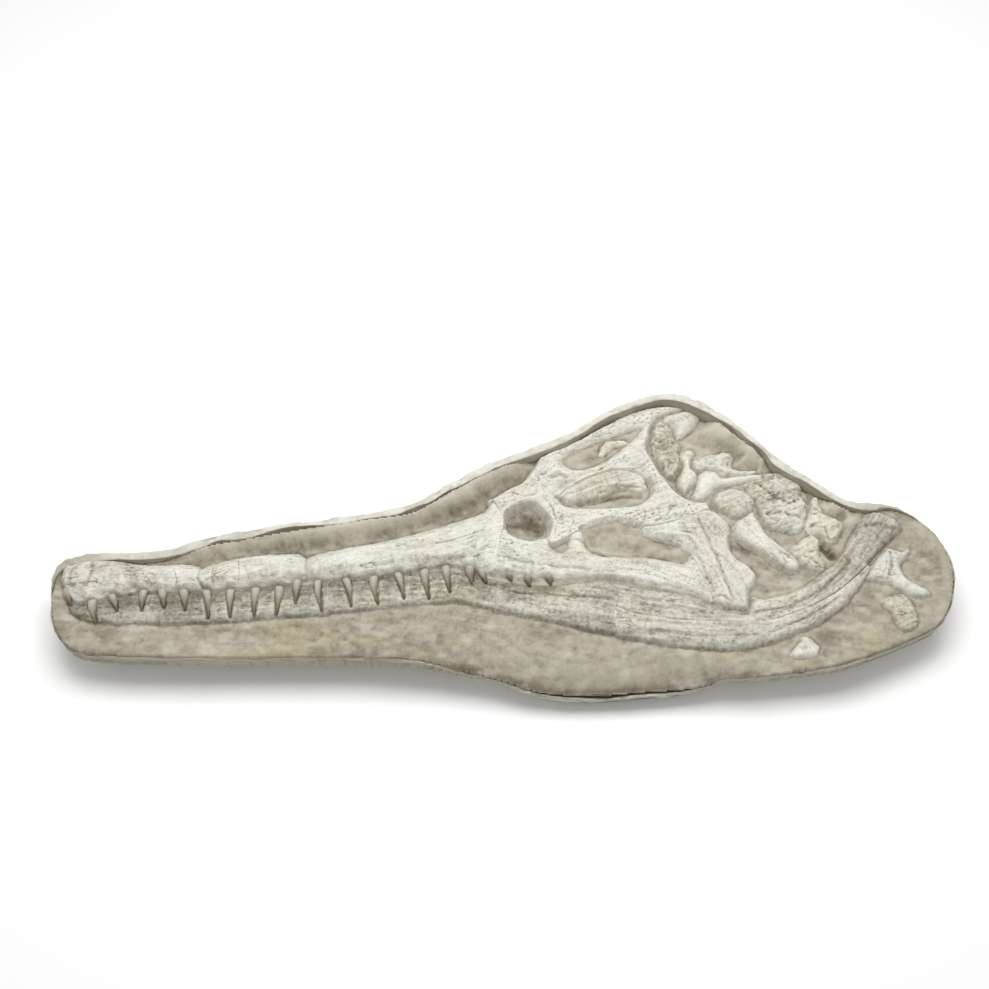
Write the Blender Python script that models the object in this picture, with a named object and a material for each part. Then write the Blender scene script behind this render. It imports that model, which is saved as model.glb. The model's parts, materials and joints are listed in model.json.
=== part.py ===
"""Fossil dyrosaur skull lying on its bed of sediment in a plaster field jacket, life size.

The snout points to -X and the skull roof leans away from the viewer, to +Y. Each bone is a relief:
a flat outline that is filled with triangles, extruded, and domed by a few crest heights. Outlines are
written as places seen in the photograph, and spot() carries each one along the line of sight on to
the slab, whose real length sets the scale.
"""
import math

import bmesh
import bpy
import numpy as np
from mathutils import Vector
from mathutils.geometry import delaunay_2d_cdt

# Driving dimensions, in metres.
SLAB_LENGTH = 1.40
BED = 0.080  # level of the sediment that the bones lie on, above the floor
GAP = 0.0003  # play between touching solids
SIDE_PLAY = 0.0005  # play between bones that lie side by side
JACKET_WALL = 0.012
JACKET_FLOOR = 0.018
LIP_DEPTH = 0.018  # how far the upright lip reaches down below the bed
LIP_ROUND = 0.004
SKIRT_FALL = 1.5  # how much faster than its crest the lip's foot falls where the crest is low
HULL_KNEE = (0.022, 0.65)  # a bend of the underside: how far in, and its share of the lip foot's height
HULL_RUN = 0.046  # how far in from the edge the underside meets the floor
POCKET_RUN = 0.052  # how far in the pocket's floor begins
MATRIX_ROUND = 0.009  # the run over which the sediment meets a high lip
MATRIX_SLOPE = 1.5  # how much longer the run is for each metre that the lip is below the bed

# How the photograph looks at the slab: pixels of its 989 by 989 frame.
VIEW_TILT = math.radians(60.0)
FOCAL_PX = 1373.6
FRAME_MIDDLE_PX = 494.5
SLAB_MIDDLE_PX = (502.0, 548.0)
SLAB_WIDTH_PX = 896.5  # what the length would span at the middle of the slab
VIEW_DISTANCE = FOCAL_PX * SLAB_LENGTH / SLAB_WIDTH_PX

# Mesh spacing, in metres.
BONE_STEP = 0.011
SLAB_STEP = 0.026
ERODE_STEP = 0.005
ERODE_SMOOTHINGS = 2
INSET_STEP = 0.0045  # the ring of points just inside a bone's edge
INSET_SHARE = 0.8  # how near to an edge, as a share of its inset, a ring's point may come
GRID_SHARE = 0.55  # and the same for a grid point, as a share of the grid's step
CROWDED_SHARE = 0.28  # points nearer to each other than this share of the step are one
GRID_COARSER = 1.25  # how much wider the grid inside a bone is than its outline's step
FLAT_ANGLE = math.radians(0.2)
WELD = 0.00001  # points this close together after a union are one
BLEND_REACH = 0.010  # crest heights closer than this blend evenly
BLEND_POWER = 1.5

# Edge of the jacket, clockwise from the left end: where it is seen, and its height above the bed.
JACKET_EDGE = [
    (47, 600, 0.006), (49, 573, 0.010), (61, 557, 0.013), (84, 550, 0.016), (150, 548, 0.020),
    (215, 532, 0.025), (300, 518, 0.029), (360, 509, 0.031), (410, 500, 0.033), (440, 484, 0.034),
    (480, 463, 0.035), (520, 447, 0.036), (562, 431, 0.036), (620, 401, 0.036), (664, 389, 0.036),
    (700, 397, 0.036), (740, 422, 0.036), (780, 454, 0.034), (820, 479, 0.028), (853, 498, 0.018),
    (893, 503, 0.010), (930, 523, 0.007), (954, 556, 0.005), (957, 590, 0.004), (945, 623, 0.003),
    (908, 643, 0.003), (850, 664, 0.003), (801, 673, -0.002), (745, 680, -0.006), (722, 681, -0.012),
    (708, 687, -0.022), (684, 692, -0.030), (640, 696, -0.034), (596, 699, -0.034), (546, 696, -0.030),
    (512, 686, -0.020), (478, 676, -0.010), (435, 666, -0.002), (400, 661, 0.003), (300, 659, 0.003),
    (200, 659, 0.003), (110, 657, 0.003), (68, 650, 0.003), (51, 628, 0.004),
]

# Bones: outline, crest heights above the bed in metres, the share of the crest height that stands as
# an upright edge, and the run over which the top rounds off.
BONES = {
    "premaxilla": dict(
        outline=[(60, 577), (65, 563), (80, 558), (112, 555), (137, 563), (187, 563), (201, 567),
                 (197, 580), (203, 589), (164, 591), (137, 591), (116, 595), (88, 600), (72, 600), (63, 588)],
        crest=[(80, 576, 0.016), (112, 572, 0.018), (150, 576, 0.018), (195, 577, 0.018)],
        edge=0.55, round=0.022),
    "nasal_fragment": dict(
        outline=[(198, 574), (203, 566), (240, 556), (298, 552), (305, 557), (303, 573), (296, 582),
                 (240, 587), (206, 586)],
        crest=[(205, 574, 0.016), (250, 570, 0.020), (300, 566, 0.020)],
        edge=0.55, round=0.020),
    "maxilla": dict(
        outline=[(309, 556), (337, 548), (376, 541), (414, 532), (443, 524), (484, 510), (492, 500),
                 (503, 520), (500, 540), (496, 560), (490, 572), (471, 568), (452, 564), (433, 566),
                 (402, 571), (376, 575), (330, 577), (308, 577)],
        crest=[(312, 566, 0.019), (376, 558, 0.020), (440, 545, 0.019), (490, 535, 0.019)],
        edge=0.55, round=0.026),
    "skull_roof": dict(
        outline=[(489, 503), (503, 491), (520, 483), (530, 471), (539, 456), (538, 452), (574, 435),
                 (603, 425), (641, 409), (679, 405), (692, 407), (666, 414), (656, 420), (650, 433),
                 (648, 447), (652, 458), (664, 477), (679, 494), (698, 502), (709, 502), (711, 509),
                 (689, 518), (660, 526), (640, 527), (612, 522), (582, 531), (566, 539), (551, 545),
                 (546, 536), (549, 528), (547, 521), (540, 512), (534, 507), (522, 507), (509, 513),
                 (505, 519)],
        crest=[(500, 508, 0.018), (528, 493, 0.019), (550, 485, 0.020), (548, 460, 0.019),
               (600, 432, 0.017), (655, 411, 0.016), (600, 466, 0.020), (640, 450, 0.019),
               (655, 480, 0.020), (562, 522, 0.019), (610, 514, 0.019), (660, 510, 0.020),
               (700, 506, 0.018)],
        edge=0.45, round=0.013),
    "jugal": dict(
        outline=[(503, 520), (505, 519), (506, 527), (510, 533), (520, 538), (532, 540), (544, 537),
                 (551, 545), (566, 539), (582, 531), (583, 542), (587, 548), (599, 554), (622, 557),
                 (647, 557), (670, 561), (683, 563), (690, 558), (700, 574), (712, 602), (700, 598),
                 (681, 593), (643, 585), (614, 580), (576, 578), (564, 580), (548, 578), (529, 579),
                 (510, 577), (490, 571), (496, 560), (500, 540)],
        crest=[(505, 548, 0.018), (540, 560, 0.016), (572, 548, 0.017), (600, 566, 0.016),
               (650, 572, 0.015), (695, 586, 0.016)],
        edge=0.42, round=0.014),
    "quadrate": dict(
        outline=[(640, 529), (660, 526), (689, 518), (711, 510), (722, 517), (729, 523), (731, 530),
                 (730, 542), (731, 550), (737, 557), (745, 563), (753, 568), (758, 575), (755, 586),
                 (750, 590), (749, 608), (738, 609), (720, 605), (712, 602), (700, 574), (690, 558),
                 (683, 548), (670, 542), (650, 538), (641, 532)],
        crest=[(660, 533, 0.017), (700, 535, 0.018), (715, 560, 0.017), (740, 580, 0.016),
               (744, 602, 0.014), (716, 590, 0.016)],
        edge=0.50, round=0.014),
    "dentary": dict(
        outline=[(68, 602), (72, 604), (88, 603), (116, 599), (137, 594), (200, 592), (240, 590),
                 (300, 585), (330, 580), (376, 579), (402, 575), (440, 571), (471, 574), (500, 582),
                 (528, 585), (556, 586), (576, 583), (595, 582), (612, 584), (618, 600), (612, 618),
                 (616, 634), (595, 631), (556, 621), (518, 614), (490, 608), (471, 603), (452, 601),
                 (395, 605), (324, 613), (260, 618), (194, 622), (103, 622), (82, 619), (71, 613)],
        crest=[(90, 612, 0.009), (200, 607, 0.009), (300, 603, 0.009), (400, 592, 0.009),
               (455, 588, 0.009), (500, 596, 0.009), (545, 604, 0.010), (600, 610, 0.014)],
        edge=0.55, round=0.018),
    "surangular": dict(
        outline=[(612, 584), (643, 589), (671, 592), (690, 595), (710, 603), (729, 611), (748, 613),
                 (752, 596), (763, 598), (778, 595), (794, 591), (809, 583), (824, 571), (835, 562),
                 (844, 550), (850, 537), (858, 525), (864, 514), (873, 511), (887, 514), (901, 523),
                 (902, 528), (891, 539), (878, 552), (868, 564), (856, 576), (840, 590), (824, 600),
                 (801, 611), (771, 621), (740, 623), (700, 622), (660, 619), (618, 608)],
        crest=[(630, 598, 0.014), (690, 608, 0.015), (745, 617, 0.014), (790, 603, 0.015),
               (835, 578, 0.015), (862, 545, 0.015), (885, 524, 0.014)],
        edge=0.40, round=0.022),
    "angular": dict(
        outline=[(618, 608), (660, 619), (700, 622), (740, 623), (771, 621), (801, 611), (824, 600),
                 (840, 590), (856, 576), (868, 564), (872, 566), (867, 576), (852, 597), (838, 611),
                 (816, 625), (794, 634), (770, 643), (740, 649), (710, 649), (671, 645), (633, 638),
                 (616, 634), (612, 618)],
        crest=[(625, 622, 0.014), (690, 634, 0.014), (750, 636, 0.014), (800, 622, 0.014),
               (845, 593, 0.013), (866, 568, 0.012)],
        edge=0.40, round=0.020),
    "laterosphenoid": dict(
        outline=[(560, 497), (566, 490), (593, 477), (620, 471), (640, 477), (648, 488), (640, 491),
                 (620, 489), (604, 497), (585, 502), (566, 503)],
        crest=[(575, 495, 0.014), (605, 485, 0.015), (635, 482, 0.014)],
        edge=0.60, round=0.014),
    "fenestra_splint": dict(
        outline=[(598, 456), (601, 446), (606, 441), (624, 440), (629, 443), (614, 448), (603, 456)],
        crest=[(605, 447, 0.013)],
        edge=0.70, round=0.010),
    "squamosal": dict(
        outline=[(666, 415), (680, 409), (692, 407), (696, 411), (701, 418), (696, 426), (690, 432),
                 (683, 438), (676, 440), (674, 430), (668, 425), (662, 420)],
        crest=[(684, 420, 0.014)],
        edge=0.35, round=0.020),
    "braincase": dict(
        outline=[(656, 422), (662, 421), (668, 426), (673, 431), (675, 441), (682, 446), (679, 456),
                 (682, 466), (680, 474), (675, 481), (669, 480), (664, 474), (656, 461), (652, 452),
                 (651, 436)],
        crest=[(662, 436, 0.014), (666, 452, 0.013), (671, 468, 0.014)],
        edge=0.40, round=0.014),
    "atlas": dict(
        outline=[(685, 450), (691, 449), (695, 455), (691, 460), (691, 468), (696, 473), (697, 483),
                 (690, 491), (684, 494), (678, 488), (677, 480), (682, 472), (683, 462), (678, 460)],
        crest=[(688, 456, 0.014), (687, 480, 0.016)],
        edge=0.45, round=0.012),
    "occipital_condyle": dict(
        outline=[(698, 475), (705, 471), (715, 472), (721, 478), (740, 476), (761, 474), (762, 479),
                 (742, 482), (720, 487), (712, 493), (705, 499), (696, 500), (692, 496), (697, 485)],
        crest=[(706, 484, 0.016), (725, 481, 0.014), (755, 477, 0.014)],
        edge=0.40, round=0.018),
    "axis_vertebra": dict(
        outline=[(694, 461), (705, 456), (721, 453), (730, 453), (733, 458), (730, 466), (740, 470),
                 (755, 471), (740, 475), (722, 476), (715, 471), (703, 470), (696, 471), (692, 466)],
        crest=[(706, 463, 0.015), (722, 461, 0.015), (745, 472, 0.012)],
        edge=0.45, round=0.014),
    "cervical_front": dict(
        outline=[(712, 500), (719, 492), (736, 489), (748, 494), (755, 504), (752, 511), (739, 518),
                 (728, 514), (718, 509)],
        crest=[(733, 503, 0.016)],
        edge=0.35, round=0.022),
    "cervical_middle": dict(
        outline=[(744, 484), (759, 479), (763, 473), (782, 474), (794, 481), (803, 488), (800, 496),
                 (808, 504), (805, 518), (803, 530), (794, 534), (782, 531), (770, 528), (763, 525),
                 (759, 513), (755, 504), (748, 494)],
        crest=[(765, 486, 0.015), (780, 500, 0.016), (785, 520, 0.014), (798, 500, 0.014)],
        edge=0.45, round=0.018),
    "cervical_rib": dict(
        outline=[(734, 525), (739, 520), (753, 512), (758, 520), (765, 532), (782, 547), (797, 559),
                 (801, 565), (797, 571), (788, 570), (770, 560), (754, 549), (739, 540), (733, 532)],
        crest=[(746, 526, 0.015), (760, 540, 0.015), (792, 564, 0.014)],
        edge=0.35, round=0.018),
    "cervical_rear": dict(
        outline=[(811, 497), (818, 496), (820, 505), (823, 513), (837, 518), (844, 527), (840, 534),
                 (836, 541), (829, 547), (820, 540), (811, 534), (805, 531), (805, 520), (810, 509)],
        crest=[(815, 505, 0.013), (820, 524, 0.014), (834, 528, 0.014)],
        edge=0.45, round=0.014),
    "neural_arch": dict(
        outline=[(788, 552), (799, 542), (811, 535), (820, 541), (820, 548), (820, 556), (826, 564),
                 (824, 572), (811, 570), (802, 565), (798, 558)],
        crest=[(808, 548, 0.013), (813, 564, 0.013)],
        edge=0.45, round=0.014),
    "loose_vertebra": dict(
        outline=[(870, 568), (887, 547), (893, 549), (901, 551), (910, 549), (907, 557), (901, 565),
                 (904, 574), (913, 582), (928, 588), (931, 593), (924, 596), (905, 591), (887, 583),
                 (868, 578)],
        crest=[(888, 565, 0.013), (895, 580, 0.012), (925, 592, 0.009)],
        edge=0.45, round=0.012),
    "rib_fragment": dict(
        outline=[(878, 600), (887, 597), (902, 593), (911, 600), (918, 615), (918, 626), (905, 631),
                 (898, 625), (893, 613), (885, 606)],
        crest=[(895, 602, 0.008), (908, 618, 0.009)],
        edge=0.50, round=0.012),
    "splint_fragment": dict(
        outline=[(791, 654), (796, 646), (802, 641), (801, 637), (806, 635), (820, 646), (818, 654),
                 (810, 656)],
        crest=[(807, 647, 0.007)],
        edge=0.60, round=0.010),
}
# Openings through the skull, as seen from the viewer.
OPENINGS = {
    "near_fenestra": [(557, 497), (562, 490), (574, 483), (593, 474), (612, 469), (630, 468), (643, 475),
                      (651, 485), (650, 495), (643, 501), (631, 505), (603, 507), (574, 507), (562, 503)],
    "far_fenestra": [(562, 462), (570, 454), (603, 440), (642, 427), (631, 441), (612, 456),
                     (597, 464), (580, 469), (568, 467)],
    "side_fenestra": [(583, 537), (586, 531), (599, 526), (612, 523), (628, 525), (641, 532), (650, 538),
                      (670, 542), (683, 548), (690, 555), (689, 560), (683, 563), (670, 561), (647, 557),
                      (622, 557), (599, 554), (587, 548)],
    "small_fenestra": [(551, 546), (562, 541), (568, 540), (569, 547), (563, 552), (556, 551)],
}
OPENING_LEVEL = 0.010  # height above the bed at which an opening's edge is seen
OPENING_FLOOR = 0.003  # height above the bed of the sediment inside an opening
FLOOR_SINK = 0.006  # how far that sediment runs on below the bed, to be fused with it
OPENINGS_IN = {
    "skull_roof": ["near_fenestra", "far_fenestra"],
    "jugal": ["side_fenestra", "small_fenestra"],
    "quadrate": ["side_fenestra"],
}
# Bones that show inside an opening and keep clear of its edge.
WITHIN = {"laterosphenoid": "near_fenestra", "fenestra_splint": "far_fenestra"}
# Bones that are grown together: their tops run on across the seam, and only free edges round off.
GROWN_TOGETHER = [
    ["premaxilla", "nasal_fragment"],
    ["maxilla", "skull_roof", "jugal", "quadrate"],
    ["dentary", "surangular", "angular"],
]
SEAM_NEAR = 0.004  # outlines this close together are one seam
# Bones whose neighbours, built first, are cut clear of them.
CUT_BY = {
    "nasal_fragment": ["premaxilla"],
    "skull_roof": ["maxilla"],
    "jugal": ["maxilla", "skull_roof"],
    "quadrate": ["skull_roof", "jugal"],
    "dentary": ["premaxilla", "nasal_fragment", "maxilla", "jugal"],
    "surangular": ["jugal", "quadrate", "dentary"],
    "angular": ["dentary", "surangular"],
    "squamosal": ["skull_roof"],
    "braincase": ["skull_roof", "squamosal"],
    "atlas": ["skull_roof", "braincase"],
    "occipital_condyle": ["skull_roof", "atlas"],
    "axis_vertebra": ["atlas", "occipital_condyle"],
    "cervical_front": ["skull_roof", "quadrate", "occipital_condyle"],
    "cervical_middle": ["occipital_condyle", "cervical_front", "axis_vertebra"],
    "cervical_rib": ["quadrate", "cervical_front", "cervical_middle", "surangular"],
    "cervical_rear": ["cervical_middle", "surangular"],
    "neural_arch": ["cervical_rib", "cervical_rear", "surangular", "cervical_middle"],
    "loose_vertebra": ["surangular", "angular"],
}

# Teeth: root and tip of each crown as seen, upper ones pointing down and lower ones up.
UPPER_TEETH = {
    "premaxilla": [(66, 588, 71, 605), (90, 597, 96, 624), (112, 594, 117, 611), (143, 588, 142, 611),
                   (162, 588, 164, 608), (184, 588, 185, 610)],
    "nasal_fragment": [(207, 584, 208, 618), (230, 584, 230, 617), (256, 582, 254, 616),
                       (281, 580, 276, 615), (297, 576, 296, 604)],
    "maxilla": [(315, 573, 322, 611), (346, 572, 351, 606), (371, 571, 378, 604), (397, 567, 404, 599),
                (422, 563, 429, 598), (444, 561, 450, 592), (468, 564, 473, 585), (481, 569, 486, 583)],
    "jugal": [(508, 572, 512, 581), (527, 574, 530, 586), (548, 574, 551, 585)],
}
LOWER_TEETH = [(80, 611, 84, 604), (214, 612, 214, 596), (260, 611, 260, 595), (289, 610, 287, 593),
               (304, 606, 304, 586), (327, 603, 330, 583), (354, 598, 355, 579), (380, 596, 383, 575),
               (408, 592, 411, 572), (436, 590, 440, 572), (457, 586, 458, 573), (476, 586, 477, 577)]
TOOTH_RADIUS = 0.0052
TOOTH_VARIES = (0.85, 1.15)
TOOTH_TIP_SHARE = 0.12  # a tip's radius as a share of the crown's
TOOTH_SIDES = 7
TOOTH_ROOT_SINK = 0.007  # how far a root runs on into its jaw
UPPER_TOOTH_ROOT = 0.0160  # height of an upper crown's axis above the bed at its root
UPPER_TOOTH_TIP = 0.0152  # and at its tip, which lies over the lower jaw
LOWER_TOOTH_ROOT = 0.0100
LOWER_TOOTH_TIP = 0.0155
TOOTH_SEED = 7


def clear_scene():
    for old in list(bpy.data.objects):
        bpy.data.objects.remove(old)


def line_of_sight(pixel):
    """The direction in which the photograph sees this pixel."""
    right = (pixel[0] - FRAME_MIDDLE_PX) / FOCAL_PX
    up = (FRAME_MIDDLE_PX - pixel[1]) / FOCAL_PX
    sine, cosine = math.sin(VIEW_TILT), math.cos(VIEW_TILT)
    return np.array([right, cosine + up * sine, up * cosine - sine])


def place_seen(pixel, level):
    """The plan point that this pixel shows at a height above the bed."""
    eye = np.array([0.0, 0.0, BED]) - VIEW_DISTANCE * line_of_sight(SLAB_MIDDLE_PX)
    way = line_of_sight(pixel)
    return (eye + way * (BED + level - eye[2]) / way[2])[:2]


def slab_centre():
    loop = smooth_loop([place_seen((x, y), rise) for x, y, rise in JACKET_EDGE], SLAB_STEP)
    return (loop.min(axis=0) + loop.max(axis=0)) / 2


def spot(pixel, level=0.0):
    return place_seen(pixel, level) - CENTRE


def jacket_edge():
    """The rim of the jacket: plan places, and the height of the lip above the bed at each."""
    return smooth_loop([(*spot((x, y), rise), rise) for x, y, rise in JACKET_EDGE], SLAB_STEP)


def smooth_loop(points, step):
    """A closed Catmull-Rom curve through the points, sampled about every step."""
    points = np.asarray(points, float)
    before, after = np.roll(points, 1, axis=0), np.roll(points, -1, axis=0)
    beyond = np.roll(points, -2, axis=0)
    made = []
    for a, b, c, d in zip(before, points, after, beyond):
        count = max(1, round(np.linalg.norm((c - b)[:2]) / step))
        for t in np.arange(count) / count:
            bend = (c - a) * t + (2 * a - 5 * b + 4 * c - d) * t**2 + (3 * b - a - 3 * c + d) * t**3
            made.append(b + bend / 2)
    return np.array(made)


def shifted(loop, distance):
    """The loop moved outwards by a distance, or inwards if that is negative."""
    along = np.roll(loop, -1, axis=0) - np.roll(loop, 1, axis=0)
    normal = np.stack([along[:, 1], -along[:, 0]], axis=1)
    normal /= np.linalg.norm(normal, axis=1)[:, None]
    x, y = loop[:, 0], loop[:, 1]
    turn = np.sign(np.sum(x * np.roll(y, -1) - y * np.roll(x, -1)))
    return loop + normal * distance * turn


def inside(points, loop):
    """Which points lie inside the closed loop, by counting the edges that a ray crosses."""
    x, y = points[:, :1], points[:, 1:]
    a, b = loop, np.roll(loop, -1, axis=0)
    straddles = (a[:, 1] > y) != (b[:, 1] > y)
    rise = np.where(b[:, 1] == a[:, 1], 1.0, b[:, 1] - a[:, 1])
    crossing = a[:, 0] + (y - a[:, 1]) * (b[:, 0] - a[:, 0]) / rise
    return np.sum(straddles & (x < crossing), axis=1) % 2 == 1


def segment_distance(points, starts, ends):
    """Distance of each point from the nearest of some straight segments."""
    along = ends - starts
    length = np.maximum(np.sum(along**2, axis=1), 1e-12)
    offset = points[:, None, :] - starts[None]
    t = np.clip(np.sum(offset * along, axis=2) / length, 0, 1)
    return np.linalg.norm(offset - t[..., None] * along, axis=2).min(axis=1)


def edge_distance(points, loops):
    """Distance of each point from the nearest edge of the loops."""
    return np.min([segment_distance(points, loop, np.roll(loop, -1, axis=0)) for loop in loops], axis=0)


def weighted(points, spots):
    """A smooth surface through (x, y, value) spots: nearer ones weigh more."""
    spots = np.asarray(spots)
    gap = np.linalg.norm(points[:, None, :] - spots[None, :, :2], axis=2)
    weight = 1 / (gap**2 + BLEND_REACH**2) ** BLEND_POWER
    return np.sum(weight * spots[:, 2], axis=1) / np.sum(weight, axis=1)


def hexagonal_points(low, high, step):
    rows = np.arange(low[1], high[1], step * math.sqrt(3) / 2)
    made = [(x + step / 2 * (number % 2), y) for number, y in enumerate(rows)
            for x in np.arange(low[0], high[0], step)]
    return np.array(made).reshape(-1, 2)


def largest_patch(triangles):
    """The triangles of the largest patch that hangs together by its edges."""
    owner = {}
    parent = list(range(len(triangles)))

    def root(n):
        while parent[n] != n:
            n = parent[n]
        return n

    for number, triangle in enumerate(triangles):
        for i in range(3):
            edge = frozenset((triangle[i], triangle[i - 1]))
            if edge in owner:
                parent[root(number)] = root(owner[edge])
            owner[edge] = number
    roots = [root(n) for n in range(len(triangles))]
    best = max(set(roots), key=roots.count)
    return [t for t, r in zip(triangles, roots) if r == best]


def filled_region(outline, removed, within, rings, step):
    """A flat sheet of triangles inside the outline and the within loops, outside the removed loops."""
    loops = [outline, *removed, *within]
    points, edges = [], []
    for loop in loops:
        start = len(points)
        points.extend(loop)
        edges.extend((start + n, start + (n + 1) % len(loop)) for n in range(len(loop)))
    free = [shifted(outline, -ring) for ring in rings]
    grid = hexagonal_points(outline.min(axis=0), outline.max(axis=0), step) if step else np.empty((0, 2))
    taken = np.array(points)
    for ring, ring_points in [*zip(rings, free), (step * GRID_SHARE if step else 0, grid)]:
        if not len(ring_points):
            continue
        kept = ring_points[inside(ring_points, outline) & (edge_distance(ring_points, loops) > ring * INSET_SHARE)]
        for point in kept:
            if np.min(np.linalg.norm(taken - point, axis=1)) > (step or ring) * CROWDED_SHARE:
                taken = np.vstack([taken, point])
    points = [Vector(p) for p in taken]
    made = delaunay_2d_cdt(points, edges, [], 0, 1e-5)
    corners = np.array([tuple(v) for v in made[0]])
    triangles = [tuple(face) for face in made[2]]
    middles = np.array([corners[list(t)].mean(axis=0) for t in triangles])
    wanted = inside(middles, outline)
    for loop in removed:
        wanted &= ~inside(middles, loop)
    for loop in within:
        wanted &= inside(middles, loop)
    return corners, largest_patch([t for t, keep in zip(triangles, wanted) if keep])


def placed(name, shape, slot):
    """The finished shape as a named object of the model."""
    mesh = bpy.data.meshes.new(name)
    shape.to_mesh(mesh)
    shape.free()
    mesh.materials.append(slot)
    made = bpy.data.objects.new(name, mesh)
    MODEL.objects.link(made)
    return made


def relief(name, corners, triangles, top, bottom, slot):
    """The sheet extruded into a closed solid between two height functions."""
    used = sorted({n for t in triangles for n in t})
    shape = bmesh.new()
    verts = {n: shape.verts.new((*corners[n], 0.0)) for n in used}
    for triangle in triangles:
        shape.faces.new([verts[n] for n in triangle])
    bmesh.ops.recalc_face_normals(shape, faces=shape.faces)
    if sum(face.normal.z for face in shape.faces) > 0:
        bmesh.ops.reverse_faces(shape, faces=shape.faces)
    lower = list(shape.verts)
    raised = bmesh.ops.extrude_face_region(shape, geom=list(shape.faces))["geom"]
    upper = [v for v in raised if isinstance(v, bmesh.types.BMVert)]
    for group, height in [(lower, bottom), (upper, top)]:
        plan = np.array([v.co.xy for v in group])
        for vert, z in zip(group, height(plan)):
            vert.co.z = z
    flat = set(lower)
    bmesh.ops.dissolve_limit(
        shape, angle_limit=FLAT_ANGLE, use_dissolve_boundaries=False,
        verts=lower, edges=[e for e in shape.edges if flat.issuperset(e.verts)], delimit=set())
    bmesh.ops.triangulate(shape, faces=[f for f in shape.faces if len(f.verts) > 4])
    bmesh.ops.recalc_face_normals(shape, faces=shape.faces)
    return placed(name, shape, slot)


def material(name, colour, roughness):
    made = bpy.data.materials.new(name)
    made.use_nodes = True
    surface = made.node_tree.nodes["Principled BSDF"]
    surface.inputs["Base Color"].default_value = (*colour, 1.0)
    surface.inputs["Roughness"].default_value = roughness
    surface.inputs["Metallic"].default_value = 0.0
    return made


def lofted(name, rings, slot):
    """A closed solid through rings of equally many points, from its underside to its inside floor."""
    shape = bmesh.new()
    loops = [[shape.verts.new(point) for point in ring] for ring in rings]
    for lower, upper in zip(loops, loops[1:]):
        for n in range(len(lower)):
            shape.faces.new((lower[n - 1], lower[n], upper[n], upper[n - 1]))
    shape.faces.new(loops[0])
    shape.faces.new(loops[-1])
    bmesh.ops.recalc_face_normals(shape, faces=shape.faces)
    bmesh.ops.triangulate(shape, faces=shape.faces)
    return placed(name, shape, slot)


def section(edge, inset, height):
    """A ring of the loft: the edge moved in, smoothed as it goes, at a height."""
    loop = edge
    steps = round(inset / ERODE_STEP) if inset > 2 * JACKET_WALL else 0
    for _ in range(steps):
        loop = shifted(loop, -inset / steps)
        for _ in range(ERODE_SMOOTHINGS):
            loop = loop / 2 + (np.roll(loop, 1, axis=0) + np.roll(loop, -1, axis=0)) / 4
    if not steps:
        loop = shifted(loop, -inset)
    return np.column_stack([loop, np.broadcast_to(height, len(loop))])


def lip_shape():
    """The plan of the lip, with the heights of its crest, its foot and the pocket's shoulder."""
    lip = jacket_edge()
    crest = BED + lip[:, 2]
    foot = BED - LIP_DEPTH + SKIRT_FALL * np.minimum(lip[:, 2], 0)
    shoulder = (foot + np.minimum(crest, BED)) / 2
    return lip[:, :2], crest, foot, shoulder


def jacket():
    """The plaster tray: an undercut hull, and a lip that stands high on the far side."""
    edge, crest, foot, shoulder = lip_shape()
    knee_inset, knee_share = HULL_KNEE
    return lofted("jacket", [
        section(edge, HULL_RUN, 0.0),
        section(edge, knee_inset, foot * knee_share),
        section(edge, 0.0, foot),
        section(edge, 0.0, crest - LIP_ROUND),
        section(edge, LIP_ROUND, crest),
        section(edge, JACKET_WALL, crest - LIP_ROUND / 2),
        section(edge, JACKET_WALL + SIDE_PLAY, shoulder),
        section(edge, POCKET_RUN, JACKET_FLOOR),
    ], PLASTER)


def matrix():
    """The sediment that fills the jacket, flat under the bones and falling to the lip where that is low."""
    edge, crest, _, shoulder = lip_shape()
    wall = JACKET_WALL + 2 * SIDE_PLAY
    fall = BED - np.minimum(crest, BED)
    run = wall + MATRIX_ROUND + MATRIX_SLOPE * fall[:, None]
    return lofted("matrix", [
        section(edge, POCKET_RUN + SIDE_PLAY, JACKET_FLOOR + 2 * GAP),
        section(edge, wall, shoulder + 2 * GAP),
        section(edge, wall, BED - fall),
        np.column_stack([shifted(edge, -run), np.full(len(edge), BED)]),
    ], SEDIMENT)


def mean_crest(name):
    return float(np.mean([entry[2] for entry in BONES[name]["crest"]]))


def bone_outline(name):
    facts = BONES[name]
    level = mean_crest(name) * facts["edge"]
    return smooth_loop([spot(pixel, level) for pixel in facts["outline"]], BONE_STEP)


def opening_loop(name):
    return smooth_loop([spot(pixel, OPENING_LEVEL) for pixel in OPENINGS[name]], BONE_STEP)


def free_edges(name, holes):
    """The segments at which a bone ends: its holes, and what no bone grown on to it shares."""
    starts = bone_outline(name)
    ends = np.roll(starts, -1, axis=0)
    partners = [bone_outline(other) for group in GROWN_TOGETHER if name in group
                for other in group if other != name]
    if partners:
        free = edge_distance((starts + ends) / 2, partners) > SEAM_NEAR
        starts, ends = starts[free], ends[free]
    return np.vstack([starts, *holes]), np.vstack([ends, *[np.roll(hole, -1, axis=0) for hole in holes]])


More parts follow.
